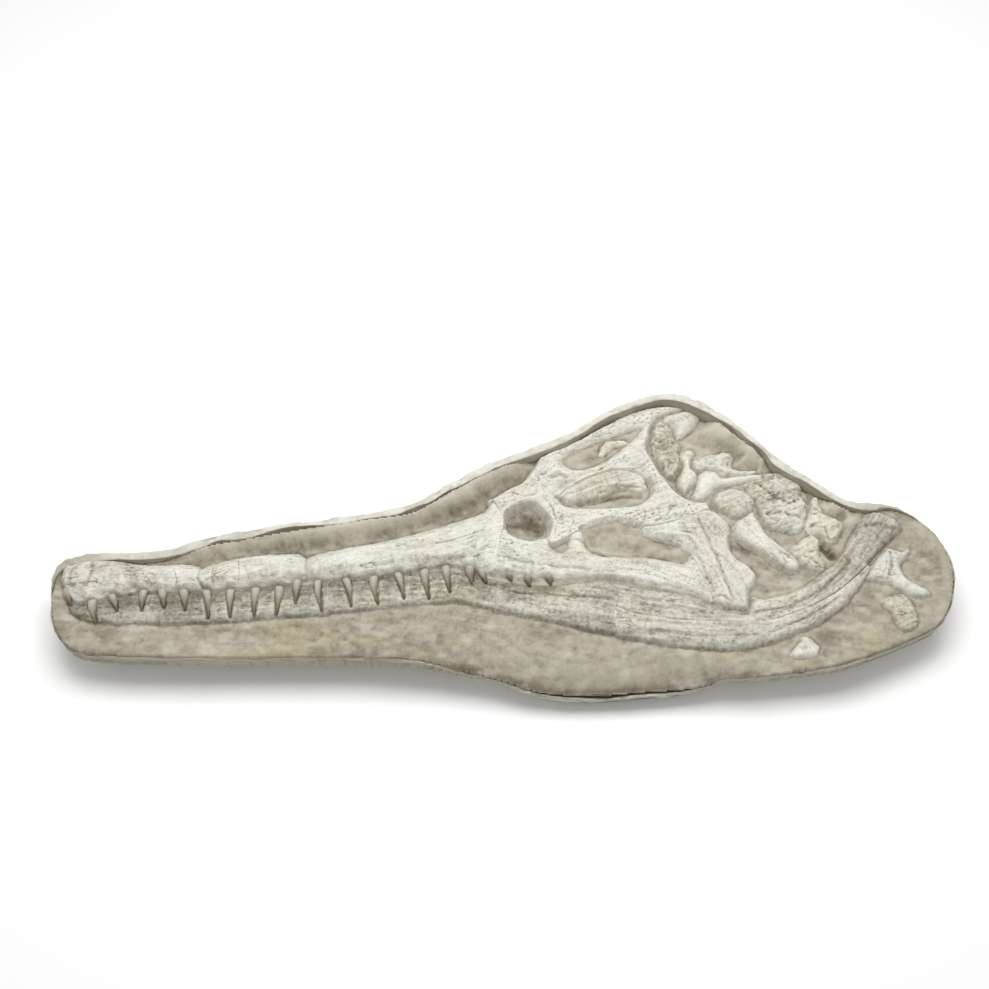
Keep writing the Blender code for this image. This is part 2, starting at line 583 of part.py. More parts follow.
def bone(name):
    facts = BONES[name]
    outline = bone_outline(name)
    holes = [opening_loop(opening) for opening in OPENINGS_IN.get(name, [])]
    neighbours = [shifted(bone_outline(other), SIDE_PLAY) for other in CUT_BY.get(name, [])]
    around = [shifted(jacket_edge()[:, :2], -JACKET_WALL - 2 * SIDE_PLAY)]
    if name in WITHIN:
        around.append(shifted(opening_loop(WITHIN[name]), -SIDE_PLAY))
    crest = [(*spot(entry[:2], entry[2]), entry[2]) for entry in facts["crest"]]
    corners, triangles = filled_region(outline, [*holes, *neighbours], around, [INSET_STEP],
                                        BONE_STEP * GRID_COARSER)
    free = free_edges(name, holes)

    def top(plan):
        depth = np.clip(segment_distance(plan, *free) / facts["round"], 0, 1)
        swell = facts["edge"] + (1 - facts["edge"]) * np.sqrt(1 - (1 - depth) ** 2)
        return BED + weighted(plan, crest) * swell

    def bottom(plan):
        return np.full(len(plan), BED + GAP + (OPENING_FLOOR if name in WITHIN else 0))

    return relief(name, corners, triangles, top, bottom, BONE)


def opening_fill(name):
    """The sediment that stands inside an opening of the skull."""
    loop = shifted(opening_loop(name), -SIDE_PLAY)
    corners, triangles = filled_region(loop, [], [], [], 0)

    def top(plan):
        return np.full(len(plan), BED + OPENING_FLOOR)

    def bottom(plan):
        return np.full(len(plan), BED - FLOOR_SINK)

    return relief(name, corners, triangles, top, bottom, SEDIMENT)


def tooth(root, tip, random):
    """One crown: a tapered cone that runs on into the jaw behind its root."""
    axis = tip - root
    length = axis.length + TOOTH_ROOT_SINK
    shape = bmesh.new()
    bmesh.ops.create_cone(
        shape, cap_ends=True, segments=TOOTH_SIDES, depth=length,
        radius1=TOOTH_RADIUS * random.uniform(*TOOTH_VARIES), radius2=TOOTH_RADIUS * TOOTH_TIP_SHARE)
    mesh = bpy.data.meshes.new("tooth")
    shape.to_mesh(mesh)
    shape.free()
    made = bpy.data.objects.new("tooth", mesh)
    made.rotation_mode = "QUATERNION"
    made.rotation_quaternion = axis.to_track_quat("Z", "Y")
    made.location = tip - axis.normalized() * length / 2
    return made


def keep_largest(mesh):
    """Welds the mesh and leaves only the largest of its closed surfaces."""
    shape = bmesh.new()
    shape.from_mesh(mesh)
    bmesh.ops.remove_doubles(shape, verts=shape.verts, dist=WELD)
    bmesh.ops.dissolve_degenerate(shape, edges=shape.edges, dist=WELD)
    unseen = set(shape.verts)
    surfaces = []
    while unseen:
        front = [unseen.pop()]
        surface = list(front)
        while front:
            beside = {edge.other_vert(vert) for vert in front for edge in vert.link_edges} & unseen
            unseen -= beside
            surface.extend(beside)
            front = list(beside)
        surfaces.append(surface)
    surfaces.sort(key=len)
    bmesh.ops.delete(shape, geom=[vert for surface in surfaces[:-1] for vert in surface], context="VERTS")
    shape.to_mesh(mesh)
    shape.free()


def join(base, pieces):
    """Fuses the pieces into the base, which stays one closed body."""
    gathered = bpy.data.collections.new(base.name + "_pieces")
    bpy.context.scene.collection.children.link(gathered)
    for piece in pieces:
        gathered.objects.link(piece)
    union = base.modifiers.new("union", "BOOLEAN")
    union.operation = "UNION"
    union.operand_type = "COLLECTION"
    union.collection = gathered
    union.solver = "EXACT"
    bpy.context.view_layer.update()
    graph = bpy.context.evaluated_depsgraph_get()
    fused = bpy.data.meshes.new_from_object(base.evaluated_get(graph))
    base.modifiers.remove(union)
    keep_largest(fused)
    base.data = fused
    for piece in pieces:
        bpy.data.objects.remove(piece)
    bpy.data.collections.remove(gathered)


def grow_teeth(jaw, seen, root_height, tip_height, random):
    crowns = []
    for root_x, root_y, tip_x, tip_y in seen:
        root = Vector((*spot((root_x, root_y), root_height), BED + root_height))
        tip = Vector((*spot((tip_x, tip_y), tip_height), BED + tip_height))
        crowns.append(tooth(root, tip, random))
    join(jaw, crowns)


clear_scene()
MODEL = bpy.data.collections.new("fossil_dyrosaur_skull")
bpy.context.scene.collection.children.link(MODEL)
PLASTER = material("plaster", (0.68, 0.66, 0.58), 0.9)
SEDIMENT = material("sediment", (0.42, 0.38, 0.29), 0.95)
BONE = material("bone", (0.62, 0.60, 0.52), 0.75)
CENTRE = slab_centre()

jacket()
bed = matrix()
join(bed, [opening_fill(name) for name in OPENINGS])
bones = {name: bone(name) for name in BONES}
chance = np.random.default_rng(TOOTH_SEED)
for jaw_name, crowns_seen in UPPER_TEETH.items():
    grow_teeth(bones[jaw_name], crowns_seen, UPPER_TOOTH_ROOT, UPPER_TOOTH_TIP, chance)
grow_teeth(bones["dentary"], LOWER_TEETH, LOWER_TOOTH_ROOT, LOWER_TOOTH_TIP, chance)
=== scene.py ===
"""Looks of the fossil dyrosaur skull: cracked grey bone in sandy sediment, inside a plaster field jacket.

Each bone's outline and swelling are read from its solid in the frame. A fine sheet is laid over it, with
fibres, cracks, pits and flakes, and dives into the sediment at the bone's edge. Places that are written
as pixels are named in the photograph's frame of 989 by 989, and spot() carries them on to the slab.
"""
import json
import math

import bmesh
import bpy
import numpy as np
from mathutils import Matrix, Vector
from mathutils.bvhtree import BVHTree
from mathutils.kdtree import KDTree

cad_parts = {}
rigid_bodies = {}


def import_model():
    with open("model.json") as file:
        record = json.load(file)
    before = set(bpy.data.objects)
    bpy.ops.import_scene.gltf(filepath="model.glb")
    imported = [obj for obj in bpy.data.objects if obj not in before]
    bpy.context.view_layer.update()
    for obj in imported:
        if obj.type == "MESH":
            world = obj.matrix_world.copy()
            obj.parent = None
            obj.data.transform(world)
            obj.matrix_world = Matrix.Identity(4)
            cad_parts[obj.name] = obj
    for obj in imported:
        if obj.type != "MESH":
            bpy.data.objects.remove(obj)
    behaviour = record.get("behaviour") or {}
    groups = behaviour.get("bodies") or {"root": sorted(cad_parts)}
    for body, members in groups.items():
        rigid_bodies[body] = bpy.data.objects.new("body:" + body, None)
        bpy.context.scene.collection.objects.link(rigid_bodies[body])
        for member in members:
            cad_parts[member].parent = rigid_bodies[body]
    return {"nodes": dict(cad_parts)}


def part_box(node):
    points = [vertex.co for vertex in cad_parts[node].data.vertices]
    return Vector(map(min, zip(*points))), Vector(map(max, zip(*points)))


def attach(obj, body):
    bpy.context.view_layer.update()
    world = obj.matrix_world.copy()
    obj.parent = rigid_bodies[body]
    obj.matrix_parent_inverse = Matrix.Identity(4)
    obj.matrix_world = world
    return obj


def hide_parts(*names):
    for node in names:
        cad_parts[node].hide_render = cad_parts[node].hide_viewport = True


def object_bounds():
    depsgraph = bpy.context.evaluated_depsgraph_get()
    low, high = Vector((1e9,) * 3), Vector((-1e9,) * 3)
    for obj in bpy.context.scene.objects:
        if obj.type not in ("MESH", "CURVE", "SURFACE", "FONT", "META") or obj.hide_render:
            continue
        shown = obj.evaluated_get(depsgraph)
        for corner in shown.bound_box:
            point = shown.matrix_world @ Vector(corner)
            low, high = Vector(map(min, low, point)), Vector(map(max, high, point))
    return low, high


# Camera, in metres in the part's frame, and how the photograph looks at the slab.
EYE = np.array([-0.0146, -1.0192, 1.9794])
VIEW_TILT = math.radians(60.0)
FOCAL_PX = 1373.6
FRAME_PX = 989.0
SENSOR_MM = 36.0

# Sizes in metres, slopes and limits.
BONE_GRID = 0.001
MATRIX_GRID = 0.0022
RIM_STEP = 0.0026
CAD_GAP = 0.0003
CAD_BLUR = 0.0045
WALL_SLOPE = 2.4  # steepest slope of a bone's side
DIVE = 0.0045  # how far a sheet runs on outside its outline
DIVE_START = 0.0004  # and where outside it the sheet starts to go down
DIVE_SLOPE = 3.5
SUTURE_NEAR = 0.0035  # outlines this close are one suture
SUTURE_WIDTH = 0.0011
SUTURE_DEPTH = 0.0018
SKIRT_DEPTH = 0.024  # depth of a bone's flat underside below the bed
LEAST_RISE = 0.0015  # of a bone above the sediment beside it
EDGE_FADE = 0.006  # small relief fades out this near an edge
FAR = 9.0  # farther than anything in the part
CHUNK = 20000  # points worked on at once
NOISE_SIZE = 256  # cells after which a noise repeats
TENTHS = 10000  # tenths of a millimetre in a metre

# Small relief of the bones, in metres, their tone, and how much painted shade their cracks, hollows,
# sockets and steep sides get.
KNOB_RISE = 0.0042
FOLD_RISE = 0.003
TERRACE_RISE = 0.0006
CRACK_DEPTH = 0.0006
PIT_DEPTH = 0.0011
BONE_TONE = 0.655
BONE_MOTTLE = 0.14
HOLLOW_SHADE = 150
CRACK_SHADE = 0.26
STEEP_SHADE = 0.05
SOCKET_DARK = 0.26

# Which bones are grown together, so that the seam between them is only a groove.
GROUPS = [
    ["premaxilla", "nasal_fragment", "maxilla", "skull_roof", "jugal", "quadrate"],
    ["dentary", "surangular", "angular"],
]
BREAK = [(307, 548), (306, 582)]  # the break across the snout, from far to near
BREAK_SIDES = {"nasal_fragment": 1, "maxilla": -1}
BREAK_LEVEL = 0.011
BREAK_REACH = 0.0085
BREAK_GAP = 0.0006
# Lines that the fibres of each bone follow.
GRAIN = {
    "premaxilla": [(60, 580), (130, 577), (200, 578)],
    "nasal_fragment": [(200, 577), (305, 564)],
    "maxilla": [(308, 566), (400, 552), (440, 543), (505, 522)],
    "skull_roof": [(495, 512), (560, 492), (640, 468), (710, 446)],
    "jugal": [(498, 552), (560, 568), (640, 572), (705, 592)],
    "quadrate": [(645, 528), (690, 535), (722, 565), (746, 605)],
    "dentary": [(66, 612), (200, 607), (330, 598), (455, 586), (520, 600), (620, 616)],
    "surangular": [(600, 594), (690, 608), (750, 612), (800, 600), (838, 574), (858, 544), (884, 512)],
    "angular": [(600, 622), (740, 636), (805, 618), (848, 588), (872, 562)],
    "cervical_rib": [(740, 520), (766, 545), (800, 568)],
    "loose_vertebra": [(870, 575), (930, 592)],
}
PLAIN_GRAIN = [(600, 500), (760, 440)]
GRAIN_LEVEL = 0.016  # height above the bed at which those lines are seen


def clear_defaults():
    for old in list(bpy.data.objects):
        bpy.data.objects.remove(old)


def line_of_sight(pixel):
    right = (pixel[0] - FRAME_PX / 2) / FOCAL_PX
    up = (FRAME_PX / 2 - pixel[1]) / FOCAL_PX
    sine, cosine = math.sin(VIEW_TILT), math.cos(VIEW_TILT)
    return np.array([right, cosine + up * sine, up * cosine - sine])


def spot(pixel, level=0.0):
    """The plan place that a pixel shows at a height above the bed."""
    way = line_of_sight(pixel)
    return (EYE + way * (BED + level - EYE[2]) / way[2])[:2]


def path(pixels, level=0.0):
    return np.array([spot(pixel, level) for pixel in pixels])


# Noise on the plan.

def value_noise(x, y, seed):
    """Smooth noise from -1 to 1 with one feature to a unit."""
    table = np.random.default_rng(seed).random((NOISE_SIZE, NOISE_SIZE)) * 2 - 1
    column, row = np.floor(x).astype(int), np.floor(y).astype(int)
    u, v = x - column, y - row
    u, v = u * u * (3 - 2 * u), v * v * (3 - 2 * v)
    row, column, above, beside = (n % NOISE_SIZE for n in (row, column, row + 1, column + 1))
    a, b, c, d = table[row, column], table[row, beside], table[above, column], table[above, beside]
    return a + (b - a) * u + (c - a) * v + (a - b - c + d) * u * v


def fractal(x, y, seed, octaves=4, fade=0.5):
    total, weight = 0.0, 0.0
    for level in range(octaves):
        turn = 0.6 * level
        across = x * math.cos(turn) - y * math.sin(turn)
        along = x * math.sin(turn) + y * math.cos(turn)
        total = total + fade**level * value_noise(across * 2**level, along * 2**level, seed + level)
        weight += fade**level
    return total / weight


def streaks(along, across, seed, octaves=3):
    """Noise stretched along a bone's fibres: no turning between octaves."""
    total, weight = 0.0, 0.0
    for level in range(octaves):
        total = total + 0.55**level * value_noise(along * 1.7**level, across * 2**level, seed + level)
        weight += 0.55**level
    return total / weight


def cells(x, y, seed):
    """Distances to the nearest and the second nearest of scattered points, and a number for the nearest."""
    random = np.random.default_rng(seed)
    shift_x, shift_y, label = random.random((3, NOISE_SIZE, NOISE_SIZE))
    column, row = np.floor(x).astype(int), np.floor(y).astype(int)
    nearest = np.full(x.shape, FAR)
    second = np.full(x.shape, FAR)
    owner = np.zeros(x.shape)
    for down in (-1, 0, 1):
        for side in (-1, 0, 1):
            i, j = (row + down) % NOISE_SIZE, (column + side) % NOISE_SIZE
            gap = np.hypot(column + side + shift_x[i, j] - x, row + down + shift_y[i, j] - y)
            closer = gap < nearest
            second = np.where(closer, nearest, np.minimum(second, gap))
            owner = np.where(closer, label[i, j], owner)
            nearest = np.where(closer, gap, nearest)
    return nearest, second, owner


def smooth_step(low, high, value):
    t = np.clip((value - low) / (high - low), 0, 1)
    return t * t * (3 - 2 * t)


def bell(gap, width):
    return np.exp(-((gap / width) ** 2))


def blurred(field, radius):
    """A Gaussian blur, with radius in cells."""
    reach = max(1, int(math.ceil(radius * 2.5)))
    kernel = np.exp(-0.5 * (np.arange(-reach, reach + 1) / radius) ** 2)
    kernel /= kernel.sum()
    for axis in (0, 1):
        padded = np.pad(field, [(reach, reach) if n == axis else (0, 0) for n in (0, 1)], mode="edge")
        size = field.shape[axis]
        field = sum(k * np.take(padded, range(n, n + size), axis=axis) for n, k in enumerate(kernel))
    return field


# Outlines and distances.

def welded(node):
    """The node's corners with doubles merged, and its triangles."""
    mesh = NODES[node].data
    mesh.calc_loop_triangles()
    corners = np.array([v.co for v in mesh.vertices])
    _, first, same = np.unique(np.round(corners, 6), axis=0, return_index=True, return_inverse=True)
    triangles = np.array([t.vertices for t in mesh.loop_triangles])
    return corners[first], same.ravel()[triangles]


def rims(node):
    """The closed loops around a bone's flat underside: its outline first, then its holes."""
    corners, triangles = welded(node)
    level = np.median(corners[corners[:, 2] < corners[:, 2].min() + 0.001, 2])
    low = np.abs(corners[:, 2] - level) < 1e-5
    below = triangles[low[triangles].all(axis=1)]
    after = {}
    seen = {(a, b) for t in below for a, b in zip(t, np.roll(t, -1))}
    for a, b in seen:
        if (b, a) not in seen:
            after[a] = b
    loops = []
    while after:
        loop = [next(iter(after))]
        while loop[-1] in after:
            loop.append(after.pop(loop[-1]))
        loops.append(corners[loop[:-1], :2])
    return sorted(loops, key=lambda loop: -np.ptp(loop[:, 0]) * np.ptp(loop[:, 1]))


def segments(loops):
    """Where the segments of closed loops start and end."""
    return np.vstack(loops), np.vstack([np.roll(loop, -1, axis=0) for loop in loops])


def chunks(points):
    return np.array_split(np.arange(len(points)), max(1, len(points) // CHUNK))


def segment_distance(points, starts, ends):
    """Distance of each point from the nearest of the segments."""
    nearest = np.full(len(points), 1.0)
    along = ends - starts
    length = np.maximum(np.sum(along**2, axis=1), 1e-14)
    for part in chunks(points):
        offset = points[part, None, :] - starts[None]
        t = np.clip(np.sum(offset * along, axis=2) / length, 0, 1)
        gap = np.sum((offset - t[..., None] * along) ** 2, axis=2)
        nearest[part] = np.sqrt(gap.min(axis=1))
    return nearest


def inside(points, loops):
    crossings = np.zeros(len(points), int)
    for loop in loops:
        a, b = loop, np.roll(loop, -1, axis=0)
        for part in chunks(points):
            x, y = points[part, :1], points[part, 1:]
            straddles = (a[:, 1] > y) != (b[:, 1] > y)
            rise = np.where(b[:, 1] == a[:, 1], 1.0, b[:, 1] - a[:, 1])
            crossing = a[:, 0] + (y - a[:, 1]) * (b[:, 0] - a[:, 0]) / rise
            crossings[part] += np.sum(straddles & (x < crossing), axis=1)
    return crossings % 2 == 1


def seen_outline(name):
    """A bone's outlines, drawn out to the break in the snout, which is only a seam to look at."""
    loops = rims(name)
    if name in BREAK_SIDES:
        line = path(BREAK, BREAK_LEVEL)[::-1]
        for loop in loops:
            middle = np.interp(loop[:, 1], line[:, 1], line[:, 0])
            gap = middle - loop[:, 0]
            loop[:, 0] += np.where(np.abs(gap) < BREAK_REACH, gap - BREAK_SIDES[name] * BREAK_GAP, 0)
    return loops


def split_edges(name):
    """The segments of a bone's outline: free ones, and those shared with a bone grown on to it."""
    starts, ends = segments(OUTLINES[name])
    partners = [other for group in GROUPS if name in group for other in group if other != name]
    if not partners:
        return (starts, ends), None
    theirs = segments([loop for other in partners for loop in OUTLINES[other]])
    shared = segment_distance((starts + ends) / 2, *theirs) < SUTURE_NEAR
    return (starts[~shared], ends[~shared]), (starts[shared], ends[shared])


def along_line(points, line):
    """Distance along a line and signed distance from it, for each point."""
    best = np.full(len(points), FAR)
    run = np.zeros(len(points))
    off = np.zeros(len(points))
    travelled = 0.0
    for n, (a, b) in enumerate(zip(line, line[1:])):
        length = np.linalg.norm(b - a)
        way = (b - a) / length
        t = (points - a) @ way
        t = np.clip(t, 0.0 if n else -FAR, length if n < len(line) - 2 else FAR)
        gap = points - a - t[:, None] * way
        distance = np.linalg.norm(gap, axis=1)
        side = gap @ np.array([-way[1], way[0]])
        closer = distance < best
        best = np.where(closer, distance, best)
        run = np.where(closer, travelled + t, run)
        off = np.where(closer, side, off)
        travelled += length
    return run, off


# Grids and sheets.

class Grid:
    """A plan grid round some loops, with a field for each thing that is worked out on it."""

    def __init__(self, loops, margin, step):
        low = np.min([loop.min(axis=0) for loop in loops], axis=0) - margin
        high = np.max([loop.max(axis=0) for loop in loops], axis=0) + margin
        low = np.floor(low / step) * step
        self.step = step
        self.columns = int((high[0] - low[0]) / step) + 2
        self.rows = int((high[1] - low[1]) / step) + 2
        x = low[0] + np.arange(self.columns) * step
        y = low[1] + np.arange(self.rows) * step
        self.x, self.y = np.meshgrid(x, y)
        self.points = np.column_stack([self.x.ravel(), self.y.ravel()])
        self.shape = self.x.shape

    def field(self, values):
        return np.asarray(values).reshape(self.shape)

    def noise(self, size, seed, octaves):
        """Fractal noise with features of a size, which may differ along x and y."""
        wide, tall = np.broadcast_to(size, 2)
        return fractal(self.x / wide, self.y / tall, seed, octaves)

    def from_line(self, line):
        """Distance of each point from an open line."""
        return self.field(segment_distance(self.points, line[:-1], line[1:]))


def sheet_mesh(name, grid, kept, height, floor, attributes):
    """A closed solid: a fine top over the kept cells, straight sides, and a flat underside."""
    corner = kept[:-1, :-1] & kept[1:, :-1] & kept[:-1, 1:] & kept[1:, 1:]
    rows, columns = np.nonzero(corner)
    base = rows * grid.columns + columns
    quads = np.stack([base, base + 1, base + 1 + grid.columns, base + grid.columns], axis=1)
    used, compact = np.unique(quads, return_inverse=True)
    quads = compact.reshape(quads.shape)
    top = np.column_stack([grid.points[used], height.ravel()[used]])
    edges = {}
    for quad in quads:
        for n in range(4):
            a, b = int(quad[n]), int(quad[(n + 1) % 4])
            if (b, a) in edges:
                del edges[(b, a)]
            else:
                edges[(a, b)] = True
    border = sorted({v for edge in edges for v in edge})
    place = {v: len(top) + n for n, v in enumerate(border)}
    low = top[border].copy()
    low[:, 2] = floor
    mesh = bpy.data.meshes.new(name)
    sides = [(a, place[a], place[b], b) for a, b in edges]
    faces = quads.tolist() + sides
    mesh.from_pydata(np.vstack([top, low]).tolist(), [], faces)
    closed = bmesh.new()
    closed.from_mesh(mesh)
    closed.verts.ensure_lookup_table()
    rim = [edge for edge in closed.edges if edge.is_boundary]
    bmesh.ops.triangle_fill(closed, edges=rim, use_beauty=False, normal=(0, 0, -1))
    bmesh.ops.recalc_face_normals(closed, faces=closed.faces)
    closed.to_mesh(mesh)
    closed.free()
    for key, values in attributes.items():
        data = np.full(len(mesh.vertices), float(np.median(values.ravel()[used])))
        data[: len(used)] = values.ravel()[used]
        store(mesh, key, data)
    mesh.shade_smooth()
    return mesh


def store(mesh, key, values):
    """A value for each corner of a mesh, which its material reads."""
    layer = mesh.attributes.new(key, "FLOAT", "POINT")
    layer.data.foreach_set("value", np.asarray(values, np.float32).ravel())


def linked(name, data):
    """A new object in the scene."""
    made = bpy.data.objects.new(name, data)
    bpy.context.scene.collection.objects.link(made)
    return made


def placed(name, mesh, slot, surface, *nodes):
    """An object that rides on the part and stands for its CAD nodes."""
    mesh.materials.append(surface)
    piece = linked(name, mesh)
    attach(piece, "root")
    if nodes:
        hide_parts(*nodes)


# Bones.

# Named relief on the bones: a line in pixels, its height above the bed, its half width and its rise, all
# three in tenths of a millimetre.
RIDGES = {
    "premaxilla": [
        ([(69, 580), (71, 570), (78, 563)], 140, 35, -20),
        ([(88, 579), (92, 569), (91, 561)], 160, 30, -22),
        ([(79, 574), (82, 568)], 160, 45, 20),
        ([(99, 570), (100, 563)], 160, 50, 16),
        ([(126, 560), (132, 575), (130, 588)], 160, 90, -25),
        ([(174, 570), (177, 580), (174, 589)], 160, 12, -16),
    ],
    "nasal_fragment": [
        ([(213, 564), (211, 574), (213, 584)], 180, 10, -14),
        ([(238, 558), (239, 572), (237, 584)], 190, 10, -14),
        ([(245, 566), (248, 578)], 190, 8, -10),
        ([(206, 579), (250, 577), (300, 573)], 160, 50, -16),
    ],
    "maxilla": [
        ([(436, 542), (452, 539), (468, 534), (484, 529)], 220, 11, -18),
        ([(468, 538), (478, 532)], 220, 10, -12),
        ([(345, 559), (347, 566), (342, 573)], 200, 9, -12),
        ([(324, 570), (400, 561), (480, 556)], 160, 50, -14),
    ],
    "skull_roof": [
        ([(514, 492), (524, 495), (536, 493)], 230, 16, -14),
        ([(552, 475), (560, 472), (566, 475)], 230, 40, -50),
        ([(545, 497), (552, 505), (556, 516)], 230, 12, -12),
        ([(560, 478), (600, 471), (640, 457)], 240, 30, 16),
        ([(645, 507), (646, 514), (642, 522)], 230, 9, -14),
    ],
    "jugal": [
        ([(505, 556), (530, 562), (560, 566), (590, 568)], 190, 30, -12),
        ([(545, 556), (560, 562), (585, 565)], 190, 24, 12),
        ([(600, 572), (640, 575), (690, 586)], 170, 30, 10),
    ],
    "quadrate": [
        ([(692, 520), (708, 548), (722, 580), (731, 600)], 170, 50, 26),
        ([(698, 519), (706, 534), (715, 552), (724, 574), (733, 598)], 170, 30, -8),
        ([(684, 524), (690, 538), (700, 558), (712, 590)], 170, 45, -10),
        ([(655, 531), (680, 532), (694, 536)], 200, 26, 10),
        ([(708, 598), (722, 594), (733, 601)], 170, 22, -18),
    ],
    "dentary": [
        ([(509, 592), (540, 594), (575, 596), (612, 599)], 90, 34, -10),
        ([(540, 606), (575, 612), (612, 616)], 100, 34, 12),
    ],
    "surangular": [
        ([(640, 600), (690, 606), (740, 616)], 160, 40, 12),
        ([(756, 610), (790, 606), (824, 588), (850, 560)], 170, 30, -16),
        ([(835, 577), (858, 548), (880, 521)], 170, 34, 16),
        ([(866, 524), (880, 523), (894, 527)], 160, 40, -16),
        ([(656, 620), (670, 622), (687, 621)], 140, 18, -30),
    ],
    "angular": [
        ([(650, 628), (700, 635), (760, 634)], 150, 30, -10),
        ([(770, 632), (810, 616), (840, 596)], 140, 26, -12),
    ],
    "laterosphenoid": [
        ([(570, 496), (600, 485), (640, 480)], 170, 30, 14),
        ([(600, 492), (622, 484), (645, 486)], 160, 20, -16),
    ],
    "cervical_middle": [
        ([(762, 484), (774, 496), (790, 502)], 170, 30, -30),
        ([(770, 480), (784, 486), (798, 494)], 170, 30, 26),
        ([(768, 512), (782, 512), (800, 516)], 160, 26, -30),
        ([(766, 500), (780, 508), (790, 522)], 170, 30, 26),
    ],
    "cervical_rear": [
        ([(812, 508), (824, 518), (836, 524)], 140, 30, 26),
        ([(812, 524), (824, 528), (830, 540)], 140, 24, -26),
    ],
    "neural_arch": [
        ([(792, 551), (804, 545), (814, 539)], 120, 24, 24),
        ([(804, 556), (812, 558), (820, 566)], 120, 24, -24),
    ],
    "loose_vertebra": [
        ([(890, 552), (892, 566), (888, 578)], 110, 26, -26),
        ([(884, 556), (884, 568), (880, 576)], 110, 22, 18),
    ],
}
# How strongly each bone shows fibres, cracks, pits and lumps, and how light and how warm it is.
PLAIN_STYLE = dict(fibres=1.0, cracks=1.0, pits=0.45, lumps=1.0, knobs=0.0, tone=0.0, warm=0.0, roll=0.009,
                   seam=0.35)
STYLES = {
    "premaxilla": dict(seam=1.0, lumps=1.4, knobs=0.25, tone=-0.04, roll=0.016),
    "nasal_fragment": dict(seam=0.8, warm=0.1, roll=0.018),
    "maxilla": dict(lumps=0.7, tone=0.04, roll=0.018),
    "skull_roof": dict(pits=1.5, cracks=1.1, lumps=1.2),
    "jugal": dict(pits=0.9, tone=0.01),
    "quadrate": dict(seam=1.0, fibres=1.1, cracks=0.6, pits=0.8, tone=-0.04),
    "dentary": dict(seam=0.1, cracks=0.6, lumps=0.9, pits=0.4, tone=-0.25),
    "surangular": dict(cracks=0.7, pits=0.3, tone=-0.21),
    "angular": dict(cracks=0.7, pits=0.3, tone=-0.17),
    "laterosphenoid": dict(lumps=0.8, cracks=0.5, tone=-0.1, roll=0.012),
    "fenestra_splint": dict(warm=0.2),
    "squamosal": dict(fibres=0.3, cracks=0.3, tone=-0.03, roll=0.014),
    "braincase": dict(fibres=0.4, lumps=1.6, knobs=1.4, tone=-0.18, warm=0.2),
    "atlas": dict(fibres=0.3, knobs=0.5, cracks=0.5, tone=-0.02, warm=0.2),
    "occipital_condyle": dict(fibres=0.3, lumps=0.8, knobs=0.3, cracks=0.5, tone=0.02),
    "axis_vertebra": dict(fibres=0.4, lumps=1.4, knobs=1.2, tone=-0.04, warm=0.3),
    "cervical_front": dict(fibres=0.3, lumps=1.2, knobs=0.6, pits=0.8, tone=-0.09, warm=0.2),
    "cervical_middle": dict(fibres=0.3, lumps=1.6, knobs=1.1, pits=0.6, tone=-0.12, warm=0.2),
    "cervical_rib": dict(lumps=0.8),
    "cervical_rear": dict(fibres=0.3, lumps=1.4, knobs=1.2, tone=-0.04, warm=0.35),
    "neural_arch": dict(fibres=0.3, lumps=1.2, knobs=1.0, tone=-0.04, warm=0.6),
    "loose_vertebra": dict(fibres=0.7, lumps=1.2, knobs=0.4, tone=-0.04),
    "rib_fragment": dict(lumps=1.4, pits=0.2, knobs=0.3, tone=-0.2, warm=0.6),
    "splint_fragment": dict(lumps=1.2, tone=-0.04, warm=0.2),
}
STYLES = {name: {**PLAIN_STYLE, **own} for name, own in STYLES.items()}


def cad_height(name, grid, within):
    """Height of the bone's solid above the bed, with its facets blurred away."""
    corners, triangles = welded(name)
    tree = BVHTree.FromPolygons(corners.tolist(), triangles.tolist())
    height = np.zeros(len(grid.points))
    for n in np.nonzero(within)[0]:
        x, y = grid.points[n]
        hit = tree.ray_cast(Vector((x, y, 1.0)), Vector((0, 0, -1)))[0]
        height[n] = hit.z - BED if hit else 0.0
    mask = (height > 0).astype(float)
    radius = CAD_BLUR / grid.step
    spread = blurred(grid.field(mask), radius)
    return blurred(grid.field(height * mask), radius) / np.maximum(spread, 1e-4)


def fibre_frame(name, grid):
    """Each point's run along the bone's fibres and its distance across them."""
    line = path(GRAIN.get(name, PLAIN_GRAIN), GRAIN_LEVEL)
    run, off = along_line(grid.points, line)
    return grid.field(run), grid.field(off)


def line_marks(values, low, high):
    """Thin marks along the places where a noise is nought."""
    return 1 - smooth_step(low, high, np.abs(values))


